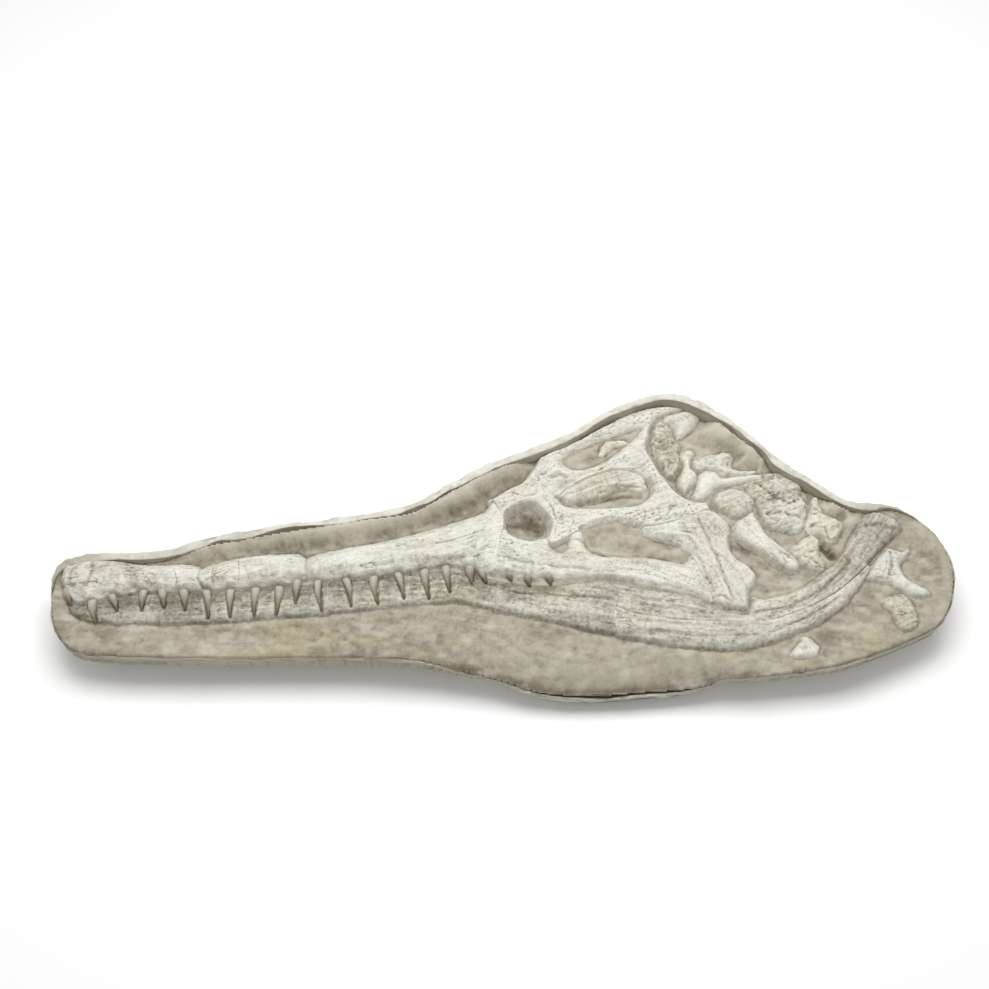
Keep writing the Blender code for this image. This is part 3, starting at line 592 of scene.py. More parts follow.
def surface_detail(name, grid, seed):
    """Small relief of a bone, and the darkness of its cracks."""
    style = STYLES[name]
    run, off = fibre_frame(name, grid)
    x, y = grid.x, grid.y
    bend = 0.004 * grid.noise(0.03, seed + 40, 3)
    lumps = 0.0013 * grid.noise(0.024, seed + 1, 4)
    warp = 0.6 * grid.noise(0.02, seed + 19, 2)
    knobs = KNOB_RISE * fractal(x / 0.014 + warp, y / 0.012 - warp, seed + 9, 3)
    folds = np.abs(fractal(x / 0.017 - warp, y / 0.014 + warp, seed + 29, 2))
    knobs = knobs + FOLD_RISE * (0.45 - folds**0.8)
    long_waves = 0.001 * streaks(run / 0.07, (off + bend) / 0.011, seed + 2)
    fibres = 0.0004 * streaks(run / 0.026, (off + bend) / 0.003, seed + 3)
    patches = smooth_step(-0.15, 0.35, grid.noise((0.026, 0.022), seed + 6, 3))
    other = smooth_step(-0.1, 0.35, grid.noise(0.018, seed + 16, 3))
    wide = line_marks(streaks((run + bend) / 0.03, (off + 2 * bend) / 0.0068, seed + 4), 0.02, 0.11)
    fine = line_marks(fractal((run - bend) / 0.015, (off + bend) / 0.0062, seed + 5, 3), 0.02, 0.14)
    cracks = style["cracks"] * np.maximum(wide * patches, 0.6 * fine * other)
    nearest, _, label = cells((run + bend) / 0.0066, (off + bend) / 0.0032, seed + 7)
    pitted = smooth_step(-0.2, 0.4, grid.noise(0.03, seed + 17, 3))
    pits = style["pits"] * (1 - smooth_step(0.1, 0.16 + 0.34 * label, nearest)) * (label > 0.35) * pitted
    flakes = fractal(run / 0.03, off / 0.012, seed + 8, 3)
    terraces = TERRACE_RISE * (smooth_step(0.02, 0.06, flakes) + smooth_step(0.24, 0.28, flakes))
    relief = (style["lumps"] * lumps + style["fibres"] * (long_waves + fibres) + style["knobs"] * knobs
              + terraces * style["cracks"] - CRACK_DEPTH * cracks - PIT_DEPTH * pits)
    return relief, np.maximum(cracks, 0.6 * pits)


def named_relief(name, grid):
    total = np.zeros(grid.shape)
    depth = np.zeros(grid.shape)
    for line, level, width, rise in RIDGES.get(name, []):
        level, width, rise = level / TENTHS, width / TENTHS, rise / TENTHS
        gap = grid.from_line(path(line, level))
        wobble = 1 + 0.35 * grid.noise(0.012, len(line) + 90, 3)
        mark = bell(gap, width * wobble)
        total += rise * mark
        depth += np.where(rise < 0, mark, 0)
    return total, depth


def socket_relief(name, grid):
    """Swollen sockets over the upper teeth, and a groove in the lower jaw round each crown, with painted
    shade below each socket, along the tooth row and round each crown.
    """
    rise = np.zeros(grid.shape)
    shade = np.zeros(grid.shape)
    if name in ("premaxilla", "nasal_fragment", "maxilla", "jugal"):
        for root_x, root_y, _, _ in UPPER_TEETH:
            x, y = spot((root_x, root_y - 3), UPPER_LEVELS[0])
            gap = np.hypot(grid.x - x, (grid.y - y) * 0.7)
            rise += SOCKET_RISE * bell(gap, SOCKET_WIDTH) - SOCKET_RING * bell(gap, 2.5 * SOCKET_WIDTH)
            # Painted shade under each swollen socket.
            shade += SOCKET_SHADE * bell(gap - 0.0095, 0.003) * (grid.y < y + 0.004)
    if name == "dentary":
        row = path([(root_x, root_y + 12) for root_x, root_y, _, _ in UPPER_TEETH], UPPER_LEVELS[0])
        # Painted shade along the row under the upper jaw's edge, and in the groove round each crown.
        shade += ROW_SHADE * bell(grid.from_line(row), ROW_WIDTH)
        for root_x, root_y, tip_x, tip_y in UPPER_TEETH:
            start, end = path([(root_x, root_y), (tip_x, tip_y)], UPPER_LEVELS[1])
            along = end - start
            x, y = grid.x - start[0], grid.y - start[1]
            t = np.clip((x * along[0] + y * along[1]) / (along @ along), 0, 1)
            gap = np.hypot(x - t * along[0], y - t * along[1])
            beside = np.maximum(gap - TOOTH_RADIUS * (1 - 0.9 * t**1.2), 0)
            rise -= GROOVE_DEPTH * bell(beside, GROOVE_WIDTH)
            shade += GROOVE_SHADE * bell(beside, 0.75 * GROOVE_WIDTH)
        rise += 0.0014 * grid.noise(0.011, 77, 3) * np.clip(2 * shade + 0.3, 0, 1)
    return rise, np.clip(shade, 0, 1.3)


def bone_surface(name, seed):
    """The sheet over one bone: its grid, the cells it keeps, its height and its colour fields."""
    loops = OUTLINES[name]
    grid = Grid(loops, DIVE + 2 * BONE_GRID, BONE_GRID)
    within = inside(grid.points, loops)
    free, shared = split_edges(name)
    to_free = segment_distance(grid.points, *free)
    to_seam = segment_distance(grid.points, *shared) if shared is not None else np.full(len(to_free), 1.0)
    beyond_free = ~within & (to_free <= to_seam)
    rim = grid.field(np.where(beyond_free, -to_free, to_free))
    signed = grid.field(np.where(within, 1, -1) * np.minimum(to_free, to_seam))
    to_seam = grid.field(to_seam)
    base = cad_height(name, grid, within)
    detail, cracks = surface_detail(name, grid, seed)
    lines, furrows = named_relief(name, grid)
    sockets, shade = socket_relief(name, grid)
    style = STYLES[name]
    ragged = (0.0012 + 0.0014 * style["knobs"]) * grid.noise(0.009, seed + 20, 3)
    roll = np.sqrt(1 - (1 - np.clip((rim + ragged) / style["roll"], 0, 1)) ** 2)
    fade = smooth_step(0, EDGE_FADE, rim)
    ground = ground_height(grid)
    relief = (detail + lines + sockets) * (0.25 + 0.75 * fade)
    height = ground + np.maximum(base - ground, LEAST_RISE) * roll + relief
    seam = bell(to_seam, SUTURE_WIDTH)
    height = height - style["seam"] * SUTURE_DEPTH * seam
    height = np.minimum(height, ground + WALL_SLOPE * (rim + ragged + 0.0008))
    dive = np.maximum(0, -signed - DIVE_START) * (to_seam < np.abs(rim))
    height = np.minimum(height, CAD_TOP - BED) - DIVE_SLOPE * dive
    kept = signed > -DIVE
    hollow = blurred(height, 2.2) - height
    steep = np.hypot(*np.gradient(blurred(height, 1.5), grid.step))
    hollow = hollow / (1 + (steep / 0.7) ** 2)
    marks = cracks / (1 + (steep / 1.2) ** 2)
    tone = paint(name, grid, marks, np.maximum(furrows, style["seam"] * seam), hollow, seed)
    # Painted shade round the sockets and crowns, and on the bone's steep sides.
    tone["tone"] = tone["tone"] - SOCKET_DARK * shade - STEEP_SHADE * smooth_step(0.6, 2.0, steep)
    return grid, kept, height + BED, tone


def paint(name, grid, cracks, furrows, hollow, seed):
    """Lightness, warmth and stain of the bone at each point; the lightness carries painted shade in cracks,
    pits, grooves, seams and hollows.
    """
    style = STYLES[name]
    run, off = fibre_frame(name, grid)
    broad = grid.noise((0.045, 0.04), seed + 11, 4)
    streaky = streaks(run / 0.04, off / 0.0042, seed + 12)
    speckle = grid.noise(0.0045, seed + 13, 3)
    tone = BONE_TONE + style["tone"] + BONE_MOTTLE * broad + BONE_MOTTLE * streaky + BONE_MOTTLE * speckle
    # Painted shade: darker in the cracks and pits, in the grooves and seams, and in the hollows of the
    # relief.
    tone = tone - CRACK_SHADE * cracks - 0.12 * np.clip(furrows, 0, 1)
    tone = tone - HOLLOW_SHADE * np.clip(hollow, -0.0005, 0.0016)
    warm = 0.35 + style["warm"] + 0.45 * grid.noise(0.04, seed + 14, 4)
    stain = smooth_step(0.05, 0.5, grid.noise((0.03, 0.022), seed + 15, 4))
    return {"tone": np.clip(tone, 0, 1), "warm": np.clip(warm, 0, 1), "stain": stain}


def make_bones():
    for number, name in enumerate(BONE_NAMES):
        grid, kept, height, tone = bone_surface(name, 100 * number + 7)
        mesh = sheet_mesh(name + "_surface", grid, kept, height, BED - SKIRT_DEPTH, tone)
        placed(name + "_surface", mesh, "bone", BONE, name)


# Teeth.

# Each crown's root and tip in pixels. Those of the upper jaw point down.
UPPER_TEETH = [
    (66, 588, 71, 605), (90, 597, 96, 624), (112, 594, 117, 611), (143, 588, 142, 611),
    (162, 588, 164, 608), (184, 588, 185, 610), (207, 584, 208, 618), (230, 584, 230, 617),
    (256, 582, 254, 616), (281, 580, 276, 615), (297, 576, 296, 604), (315, 573, 322, 611),
    (346, 572, 351, 606), (371, 571, 378, 604), (397, 567, 404, 599), (422, 563, 429, 598),
    (444, 561, 450, 592), (468, 564, 473, 585), (481, 569, 486, 583), (508, 572, 512, 581),
    (527, 574, 530, 586), (548, 574, 551, 585),
]
LOWER_TEETH = [
    (80, 611, 84, 604), (214, 612, 214, 596), (260, 611, 260, 595), (289, 610, 287, 593),
    (304, 606, 304, 586), (327, 603, 330, 583), (354, 598, 355, 579), (380, 596, 383, 575),
    (408, 592, 411, 572), (436, 590, 440, 572), (457, 586, 458, 573), (476, 586, 477, 577),
]
UPPER_LEVELS = (0.0062, 0.0068)  # heights of a crown's axis above the bed at root and tip
LOWER_LEVELS = (0.0052, 0.0072)
TOOTH_RADIUS = 0.0062
TOOTH_SIDES = 14
TOOTH_RINGS = 12
TOOTH_SINK = 0.009
TOOTH_HIDDEN = 0.36  # share of a crown that the jaw's margin covers
TOOTH_CURVE = 0.05  # bow of a crown as a share of its length
# The swollen sockets over the upper crowns with the painted shade below each, the painted shade along their
# row, and the groove round each crown with its painted shade.
SOCKET_RISE = 0.0034
SOCKET_WIDTH = 0.008
SOCKET_RING = 0.0012
SOCKET_SHADE = 0.3
ROW_SHADE = 0.62
ROW_WIDTH = 0.02
GROOVE_DEPTH = 0.0032
GROOVE_WIDTH = 0.0024
GROOVE_SHADE = 0.9


def tooth_points(root, tip, radius, random):
    """Rings of a bowed, fluted crown from its sunk root to a blunt tip."""
    axis = tip - root
    length = np.linalg.norm(axis)
    axis = axis / length
    side = np.cross(axis, (0, 0, 1.0))
    side /= np.linalg.norm(side)
    up = np.cross(side, axis)
    bow = random.uniform(-1, 1) * TOOTH_CURVE * length
    phase = random.uniform(0, 6.28)
    rings = []
    for t in np.linspace(-TOOTH_SINK / length, 1, TOOTH_RINGS):
        width = radius * (1 - 0.9 * max(t, 0) ** 1.2)
        middle = root + axis * length * t + side * bow * 4 * t * (1 - t)
        angle = np.arange(TOOTH_SIDES) * 2 * math.pi / TOOTH_SIDES
        flute = width * (1 + 0.05 * np.cos(angle * 5 + phase))
        ring = np.outer(np.cos(angle) * flute, side)
        rings.append(middle + ring + np.outer(np.sin(angle) * flute * 0.9, up))
    return np.array(rings)


def make_teeth(name, seen, levels, seed):
    random = np.random.default_rng(seed)
    corners, faces, share = [], [], []
    for root_x, root_y, tip_x, tip_y in seen:
        root_x, root_y = root_x + (tip_x - root_x) * TOOTH_HIDDEN, root_y + (tip_y - root_y) * TOOTH_HIDDEN
        root = np.append(spot((root_x, root_y), levels[0]), BED + levels[0])
        tip = np.append(spot((tip_x, tip_y), levels[1]), BED + levels[1])
        radius = TOOTH_RADIUS * random.uniform(0.85, 1.12)
        rings = tooth_points(root, tip, radius, random)
        start = len(corners)
        corners.extend(rings.reshape(-1, 3))
        share.extend(np.repeat(np.linspace(0, 1, TOOTH_RINGS), TOOTH_SIDES))
        for ring in range(TOOTH_RINGS - 1):
            for n in range(TOOTH_SIDES):
                a, b = start + ring * TOOTH_SIDES + n, start + ring * TOOTH_SIDES + (n + 1) % TOOTH_SIDES
                faces.append((a, b, b + TOOTH_SIDES, a + TOOTH_SIDES))
        faces.append(tuple(start + n for n in reversed(range(TOOTH_SIDES))))
        faces.append(tuple(start + (TOOTH_RINGS - 1) * TOOTH_SIDES + n for n in range(TOOTH_SIDES)))
    mesh = bpy.data.meshes.new(name)
    mesh.from_pydata([tuple(c) for c in corners], [], faces)
    store(mesh, "share", share)
    mesh.shade_smooth()
    placed(name, mesh, "bone", TOOTH)


# Sediment.

MATRIX_TUCK = 0.004  # how far the sediment runs into the jacket's wall
MATRIX_ROUND = 0.012
MATRIX_SLOPE = 1.5
MATRIX_TONE = 0.45
MATRIX_MOTTLE = 0.16
MATRIX_SHADE = 160
BANK_SHARE = 0.8  # how far up the high lip the sediment is banked, as a share of the lip's height
BANK_WIDTH = 0.024
BANK_PAINTED_LIGHT = 6.0  # painted light: how much lighter the bank is painted for each metre of its height
BANK_FOOT = 0.1  # the share of it that is left where it meets a bone
BANK_CLEAR = 0.034  # and how far from the bones it is whole
TRENCH_WIDTH = 0.0032  # the preparator's groove round each bone
TRENCH_DEPTH = 0.0014
# Hollows and mounds of the sediment: a line in pixels, its half width and its rise, also in tenths.
HOLLOWS = [
    ([(514, 521), (524, 522), (536, 526)], 190, -120),
    ([(580, 505), (604, 500), (622, 497), (640, 498)], 50, -50),
    ([(742, 548), (760, 562), (790, 574)], 100, -40),
    ([(752, 570), (764, 590)], 90, -40),
    ([(824, 548), (832, 556)], 70, -120),
    ([(700, 470), (740, 485), (800, 530)], 500, 35),
    ([(798, 470), (808, 492), (806, 502)], 70, -70),
    ([(700, 425), (726, 440)], 140, -30),
    ([(838, 520), (850, 512)], 90, -60),
    ([(880, 600), (868, 612)], 90, 30),
    ([(330, 640), (420, 634), (520, 650)], 200, 30),
    ([(560, 668), (640, 672)], 200, 30),
    ([(600, 545), (630, 541)], 120, 30),
    ([(650, 552), (680, 556)], 80, 30),
]
# Places where shade is painted on the sediment, in the orbit and the gaps between bones: a pixel, a half
# width and by how much.
SHADE_SPOTS = [
    ((526, 524), 0.024, 0.2), ((830, 552), 0.01, 0.22), ((620, 501), 0.018, 0.1), ((765, 575), 0.02, 0.1),
]
# Sediment left standing in the skull's openings: an outline in pixels, and its height in tenths of a
# millimetre.
FILLS = [
    ([(560, 494), (574, 484), (593, 474), (612, 469), (630, 468), (645, 476), (641, 481), (615, 478),
      (595, 484), (570, 497)], 105),
    ([(560, 500), (600, 499), (645, 492), (641, 501), (620, 506), (580, 507)], 30),
    ([(562, 462), (570, 454), (603, 440), (642, 427), (631, 441), (612, 456), (590, 466), (570, 467)], 50),
    ([(583, 537), (590, 528), (620, 523), (655, 536), (687, 550), (689, 560), (670, 562), (620, 557),
      (592, 549)], 60),
    ([(551, 546), (562, 541), (569, 542), (569, 549), (560, 552)], 40),
    ([(506, 518), (514, 508), (534, 507), (547, 524), (544, 536), (522, 538), (508, 532)], 15),
    ([(480, 577), (530, 582), (600, 583), (660, 590), (720, 607), (700, 603), (640, 592), (560, 586)], 40),
]
FILL_BEYOND = (0.01, 0.002)  # a fill fades between these distances outside its outline


def ground_height(grid):
    """Height of the sediment above the bed without its fine relief: fills, hollows and mounds."""
    height = np.zeros(grid.shape)
    for outline, level in FILLS:
        level = level / TENTHS
        loop = path(outline, level)
        reach = grid.field(segment_distance(grid.points, *segments([loop])))
        reach = np.where(grid.field(inside(grid.points, [loop])), reach, -reach)
        height = np.maximum(height, level * smooth_step(-FILL_BEYOND[0], -FILL_BEYOND[1], reach))
    for line, width, rise in HOLLOWS:
        width, rise = width / TENTHS, rise / TENTHS
        reach = grid.from_line(path(line)) + 0.25 * width * grid.noise(0.014, 507, 3)
        height = height + rise * bell(np.maximum(reach, 0), width)
    return height


def rim_ring():
    """The jacket's outer edge in the frame, in order: plan place, crest and foot of each point."""
    corners, triangles = welded("jacket")
    columns = {}
    for n, (x, y, _) in enumerate(corners):
        columns.setdefault((round(x, 5), round(y, 5)), []).append(n)
    feet = {}
    for stack in columns.values():
        heights = corners[stack, 2]
        if len(stack) == 2 and np.ptp(heights) > 0.005:
            feet[stack[int(np.argmin(heights))]] = heights.max() + LIP_ROUND
    beside = {n: set() for n in feet}
    for triangle in triangles:
        for a, b in zip(triangle, np.roll(triangle, 1)):
            if a in feet and b in feet:
                beside[a].add(b)
                beside[b].add(a)
    order = [next(iter(feet))]
    while True:
        onward = [n for n in beside[order[-1]] if n not in order]
        if not onward:
            break
        order.append(onward[0])
    ring = np.array([(*corners[n, :2], feet[n], corners[n, 2]) for n in order])
    x, y = ring[:, 0], ring[:, 1]
    turn = np.sum(x * np.roll(y, -1) - y * np.roll(x, -1))
    return ring if turn > 0 else ring[::-1]


def shifted(ring, distance):
    """The ring moved outwards in plan."""
    way = np.roll(ring[:, :2], -1, axis=0) - np.roll(ring[:, :2], 1, axis=0)
    way /= np.linalg.norm(way, axis=1)[:, None]
    distance = np.broadcast_to(distance, len(ring))[:, None]
    moved = ring.copy()
    moved[:, :2] += np.column_stack([way[:, 1], -way[:, 0]]) * distance
    return moved


def edge_place(points):
    """Distance in from the jacket's edge, and the crest there."""
    ring = fine_ring(RING)
    tree = KDTree(len(ring))
    for n, place in enumerate(ring):
        tree.insert((place[0], place[1], 0), n)
    tree.balance()
    found = [tree.find((x, y, 0))[1:] for x, y in points]
    distance = np.array([gap for _, gap in found])
    crest = ring[[n for n, _ in found], 2]
    within = inside(points, [ring[:, :2]])
    return np.where(within, distance, -distance), crest


def wall_width(crest):
    """The lip is thin along the near side and broad where it stands high."""
    return LIP_WIDTH_LOW + (LIP_WIDTH_HIGH - LIP_WIDTH_LOW) * smooth_step(0.003, 0.018, crest - BED)


def make_matrix():
    grid = Grid([RING[:, :2]], 0.0, MATRIX_GRID)
    distance, crest = edge_place(grid.points)
    distance, crest = grid.field(distance), grid.field(crest)
    wall = wall_width(crest)
    x, y = grid.x, grid.y
    fall = np.maximum(BED - crest, 0) + 0.0015
    share = np.clip((distance - wall) / (MATRIX_ROUND + MATRIX_SLOPE * fall), 0, 1)
    height = -fall * (1 - share) ** 2
    bones = [loop for name in BONE_NAMES for loop in OUTLINES[name]]
    near = np.nonzero(distance.ravel() > 0)[0]
    gap = np.full(len(grid.points), 1.0)
    gap[near] = segment_distance(grid.points[near], *segments(bones))
    gap = grid.field(gap)
    covered = np.zeros(len(grid.points), bool)
    for name in BONE_NAMES:
        covered |= inside(grid.points, OUTLINES[name])
    clear = np.where(grid.field(covered), 0, gap)
    banked = distance - wall + 0.006 * grid.noise(0.04, 508, 3)
    bank = BANK_SHARE * np.maximum(crest - BED, 0) * bell(np.maximum(banked, 0), BANK_WIDTH)
    height = height + bank * (BANK_FOOT + (1 - BANK_FOOT) * smooth_step(0, BANK_CLEAR, clear))
    ragged = gap + 0.003 * grid.noise(0.012, 501, 3)
    trench = bell(np.maximum(ragged, 0), TRENCH_WIDTH)
    waves = 0.003 * grid.noise(0.075, 502, 3)
    scrapes = 0.001 * streaks(x / 0.045, (y + 0.2 * x) / 0.009, 503)
    lumps = 0.0011 * grid.noise(0.016, 504, 4)
    nearest, second, label = cells(x / 0.019 + waves * 60, y / 0.013, 505)
    chips = 0.0012 * (label - 0.5) * smooth_step(0, 0.1, second - nearest)
    grit = 0.00045 * grid.noise(0.005, 506, 2)
    height = height + (waves + scrapes + lumps + chips + grit) * (0.45 + 0.55 * share)
    height = height + ground_height(grid) - TRENCH_DEPTH * trench
    kept = distance > wall - MATRIX_TUCK
    hollow = blurred(height, 2.5) - height
    sunk = blurred(height, 9) - height
    broad = grid.noise((0.06, 0.05), 511, 4)
    mottled = grid.noise((0.012, 0.01), 512, 4)
    tone = MATRIX_TONE + MATRIX_MOTTLE * broad + MATRIX_MOTTLE * mottled
    # Painted shade in the sediment's small hollows, its broad sunken places and the trench round each bone,
    # and painted light on the bank up the high lip.
    tone = tone - MATRIX_SHADE * np.clip(hollow, -0.001, 0.0016)
    tone = tone - 4 * np.clip(sunk, -0.002, 0.006) - 0.1 * trench + BANK_PAINTED_LIGHT * bank
    # Painted shade at the listed spots.
    for pixel, width, depth in SHADE_SPOTS:
        place = spot(pixel)
        tone = tone - depth * np.exp(-(((x - place[0]) ** 2 + (y - place[1]) ** 2) / width**2))
    farther = smooth_step(-0.05, 0.05, y + 0.13)
    yellow = smooth_step(0.1, 0.45, grid.noise((0.055, 0.02), 513, 4) - 0.35 * farther)
    chalky = smooth_step(0.12, 0.62, grid.noise((0.03, 0.014), 514, 5))
    fields = {"tone": np.clip(tone, 0, 1), "warm": yellow, "stain": chalky}
    mesh = sheet_mesh("sediment_surface", grid, kept, BED + height, MATRIX_FLOOR, fields)
    placed("sediment_surface", mesh, "sediment", SEDIMENT, "matrix")


# Jacket.

LIP_ROUND = 0.004  # rounding of the lip in the frame
LIP_WIDTH_HIGH = 0.0195
LIP_WIDTH_LOW = 0.0085
LIP_WAVE = 0.0032  # the lip's mean lies this far below the frame's crest, and its waves rise to it
WALL_FOOT = 0.016  # how far the lip's inside reaches below the sediment
HULL_RUN = 0.046
HULL_KNEE = (0.022, 0.65)
POCKET_RUN = 0.052
FAR_INSET = 0.024  # rings moved in farther than this are smoothed on the way
ERODE_STEP = 0.005
ERODE_SMOOTHINGS = 2
MATRIX_FLOOR = 0.045  # the sediment's flat underside
POCKET_FLOOR = 0.02


def section(inset, height):
    """A ring of the jacket: the edge moved in, smoothed where it goes far, at a height."""
    ring = RING
    steps = 0 if np.ndim(inset) or inset < FAR_INSET else round(inset / ERODE_STEP)
    for _ in range(steps):
        ring = shifted(ring, -inset / steps)
        for _ in range(ERODE_SMOOTHINGS):
            ring = ring / 2 + (np.roll(ring, 1, axis=0) + np.roll(ring, -1, axis=0)) / 4
    if not steps:
        ring = shifted(ring, -inset)
    return np.column_stack([ring[:, :2], np.broadcast_to(height, len(ring))])


def fine_ring(ring):
    """A closed Catmull-Rom curve through a ring, with the same steps for each ring of the jacket."""
    gaps = np.linalg.norm(np.roll(RING[:, :2], -1, axis=0) - RING[:, :2], axis=1)
    neighbours = [np.roll(ring, shift, axis=0) for shift in (1, 0, -1, -2)]
    made = []
    for a, b, c, d, gap in zip(*neighbours, gaps):
        count = max(1, round(gap / RIM_STEP))
        for t in np.arange(count) / count:
            bend = (c - a) * t + (2 * a - 5 * b + 4 * c - d) * t**2 + (3 * b - a - 3 * c + d) * t**3
            made.append(b + bend / 2)
    return np.array(made)


def jacket_rings():
    """The jacket's fine rings from its floor, up the hull, over the lip and down into the pocket."""
    crest, foot = RING[:, 2], RING[:, 3]
    run = np.cumsum(np.linalg.norm(RING[:, :2] - np.roll(RING[:, :2], 1, axis=0), axis=1))
    wobble = 0.006 * fractal(run / 0.08, run * 0 + 3, 601, 3)
    width = wall_width(crest) * (1 + 0.42 * fractal(run / 0.05, run * 0 + 5, 602, 5))
    crest = crest - LIP_WAVE + np.minimum(wobble, LIP_WAVE)
    buried = np.minimum(crest, BED) - WALL_FOOT
    turns = [
        (HULL_RUN, 0.0, 1),
        (HULL_KNEE[0], foot * HULL_KNEE[1], 13),
        (0.0012, foot, 8),
        (0.0004, (foot + crest) / 2, 7),
        (0.0, crest - LIP_ROUND, 7),
        (0.0012, crest - 0.0014, 2),
        (0.0036, crest, 2),
        (width * 0.62, crest - 0.0003, 4),
        (width * 0.86, crest - 0.0016, 2),
        (width, crest - 0.005, 2),
        (width + 0.0015, (crest + buried) / 2, 8),
        (width + 0.002, buried, 8),
        (POCKET_RUN, POCKET_FLOOR, 4),
    ]
    rings = []
    last = None
    for inset, height, count in turns:
        ring = fine_ring(section(inset, height))
        if last is None:
            rings.append(ring)
        else:
            rings.extend(last + (ring - last) * t for t in np.arange(1, count + 1) / count)
        last = ring
    rings = np.array(rings)
    for _ in range(2):
        rings[1:-1] = rings[1:-1] / 2 + (rings[:-2] + rings[2:]) / 4
    return rings


def make_jacket():
    rings = jacket_rings()
    around = np.roll(rings, -1, axis=1) - np.roll(rings, 1, axis=1)
    across = np.gradient(rings, axis=0)
    normal = np.cross(around, across)
    normal /= np.maximum(np.linalg.norm(normal, axis=2), 1e-9)[..., None]
    run = np.cumsum(np.linalg.norm(rings[25] - np.roll(rings[25], 1, axis=0), axis=1))
    climb = np.cumsum(np.linalg.norm(np.diff(rings, axis=0, prepend=rings[:1]), axis=2), axis=0)
    run = np.broadcast_to(run, climb.shape)
    x, y, z = rings[..., 0], rings[..., 1], rings[..., 2]
    nearest, second, label = cells(run / 0.085 + climb * 4, climb / 0.06, 611)
    strips = 0.0016 * label + 0.001 * smooth_step(0.0, 0.05, second - nearest)
    folds = 0.0015 * (1 + streaks(run / 0.06, climb / 0.012, 612))
    lumps = 0.0018 * (1 + fractal(x / 0.02 + z / 0.02, y / 0.02 - z / 0.03, 613, 4))
    grit = 0.0005 * (1 + fractal(x / 0.006 + z / 0.004, y / 0.006 + z / 0.005, 614, 2))
    under = 1 - smooth_step(0.0, 0.01, z)
    depth = (strips * 0.8 + folds + lumps + grit) * (1 - under)
    crest = np.broadcast_to(z.max(axis=0), z.shape)
    top = (np.abs(normal[..., 2]) > 0.6) & (z > crest - 0.01)
    chipped = 0.0022 * smooth_step(0.05, 0.35, fractal(x / 0.022, y / 0.022, 616, 4))
    depth = np.where(top, 0.0026 * (1 + fractal(x / 0.013, y / 0.013, 615, 5)) + chipped + grit, depth)
    depth = (np.roll(depth, 1, axis=0) + 2 * depth + np.roll(depth, -1, axis=0)) / 4
    depth[0] = 0
    moved = rings - normal * depth[..., None]
    count, size = rings.shape[:2]
    index = np.arange(count * size).reshape(count, size)
    a, b = index[:-1], index[1:]
    quads = np.stack([a, np.roll(a, -1, axis=1), np.roll(b, -1, axis=1), b], axis=-1).reshape(-1, 4)
    faces = quads.tolist() + [index[0][::-1].tolist(), index[-1].tolist()]
    mesh = bpy.data.meshes.new("jacket_shell")
    mesh.from_pydata(moved.reshape(-1, 3).tolist(), [], faces)
    closed = bmesh.new()
    closed.from_mesh(mesh)
    bmesh.ops.recalc_face_normals(closed, faces=closed.faces)
    caps = [face for face in closed.faces if len(face.verts) > 4]
    bmesh.ops.triangulate(closed, faces=caps)
    closed.to_mesh(mesh)
    closed.free()
    mesh.shade_smooth()
    within = np.cumsum(np.isclose(z, crest, atol=0.003), axis=0) > 0
    drop = crest - z
    dust = np.where(within, smooth_step(0.0015, 0.007, drop), 0.0)
    dust = dust + smooth_step(0.0, 0.45, fractal(x / 0.025, y / 0.025, 621, 5)) * 0.6
    low = 1 - smooth_step(0.005, 0.024, crest - BED)
    dust = np.maximum(dust, low * (z > 0.05))
    # Darker where the surface is pushed in: painted shade in the plaster's dents, folds and chips.
    tone = 0.66 + 0.18 * fractal(x / 0.04 + z / 0.03, y / 0.04, 622, 4) - 60 * (depth - 0.003)
    # The low lips are painted darker as well as dusty: painted shade where the light falls off them.
    tone = tone + 0.18 * fractal(x / 0.007, y / 0.007 + z / 0.006, 623, 3) - 0.16 * low
    # The hull is made darker towards the floor.
    hull_foot_darkening = smooth_step(0.03, 0.004, z) * 0.5
    for key, values in dict(tone=tone, warm=dust, stain=hull_foot_darkening).items():
        store(mesh, key, np.clip(values, 0, 1))
    placed("jacket_shell", mesh, "plaster", PLASTER, "jacket")


# Materials.

SHINE = 0.28  # specular level, dull for fossil and plaster


def add(tree, kind, inputs=None, **settings):
    """A node with its settings; each input is a socket to link or a value to set."""
    made = tree.nodes.new("ShaderNode" + kind)
    for key, value in settings.items():
        setattr(made, key, value)
    for key, value in (inputs or {}).items():
        if isinstance(value, bpy.types.NodeSocket):
            tree.links.new(value, made.inputs[key])
        else:
            made.inputs[key].default_value = value
    return made


def attribute(tree, name):
    return add(tree, "Attribute", attribute_name=name).outputs["Fac"]


def noise(tree, scale, detail=4.0, roughness=0.6, stretch=1.0):
    place = add(tree, "TexCoord").outputs["Object"]
    if stretch != 1.0:
        place = add(tree, "Mapping", {"Vector": place, "Scale": (1 / stretch, 1, 1)}).outputs["Vector"]
    values = {"Vector": place, "Scale": scale, "Detail": detail, "Roughness": roughness}
    return add(tree, "TexNoise", values).outputs["Fac"]


def sum_of(tree, first, second, share):
    """The first value plus a share of the second one's swing about its middle."""
    swing = add(tree, "Math", {0: second, 1: 0.5}, operation="SUBTRACT").outputs[0]
    return add(tree, "Math", {0: swing, 1: share, 2: first}, operation="MULTIPLY_ADD").outputs[0]


def ramp(tree, value, stops):
    made = add(tree, "ValToRGB", {"Fac": value})
    points = made.color_ramp.elements
    while len(points) < len(stops):
        points.new(0.5)
    for point, (position, colour) in zip(points, stops):
        point.position = position
        point.color = (*colour, 1)
    return made.outputs["Color"]


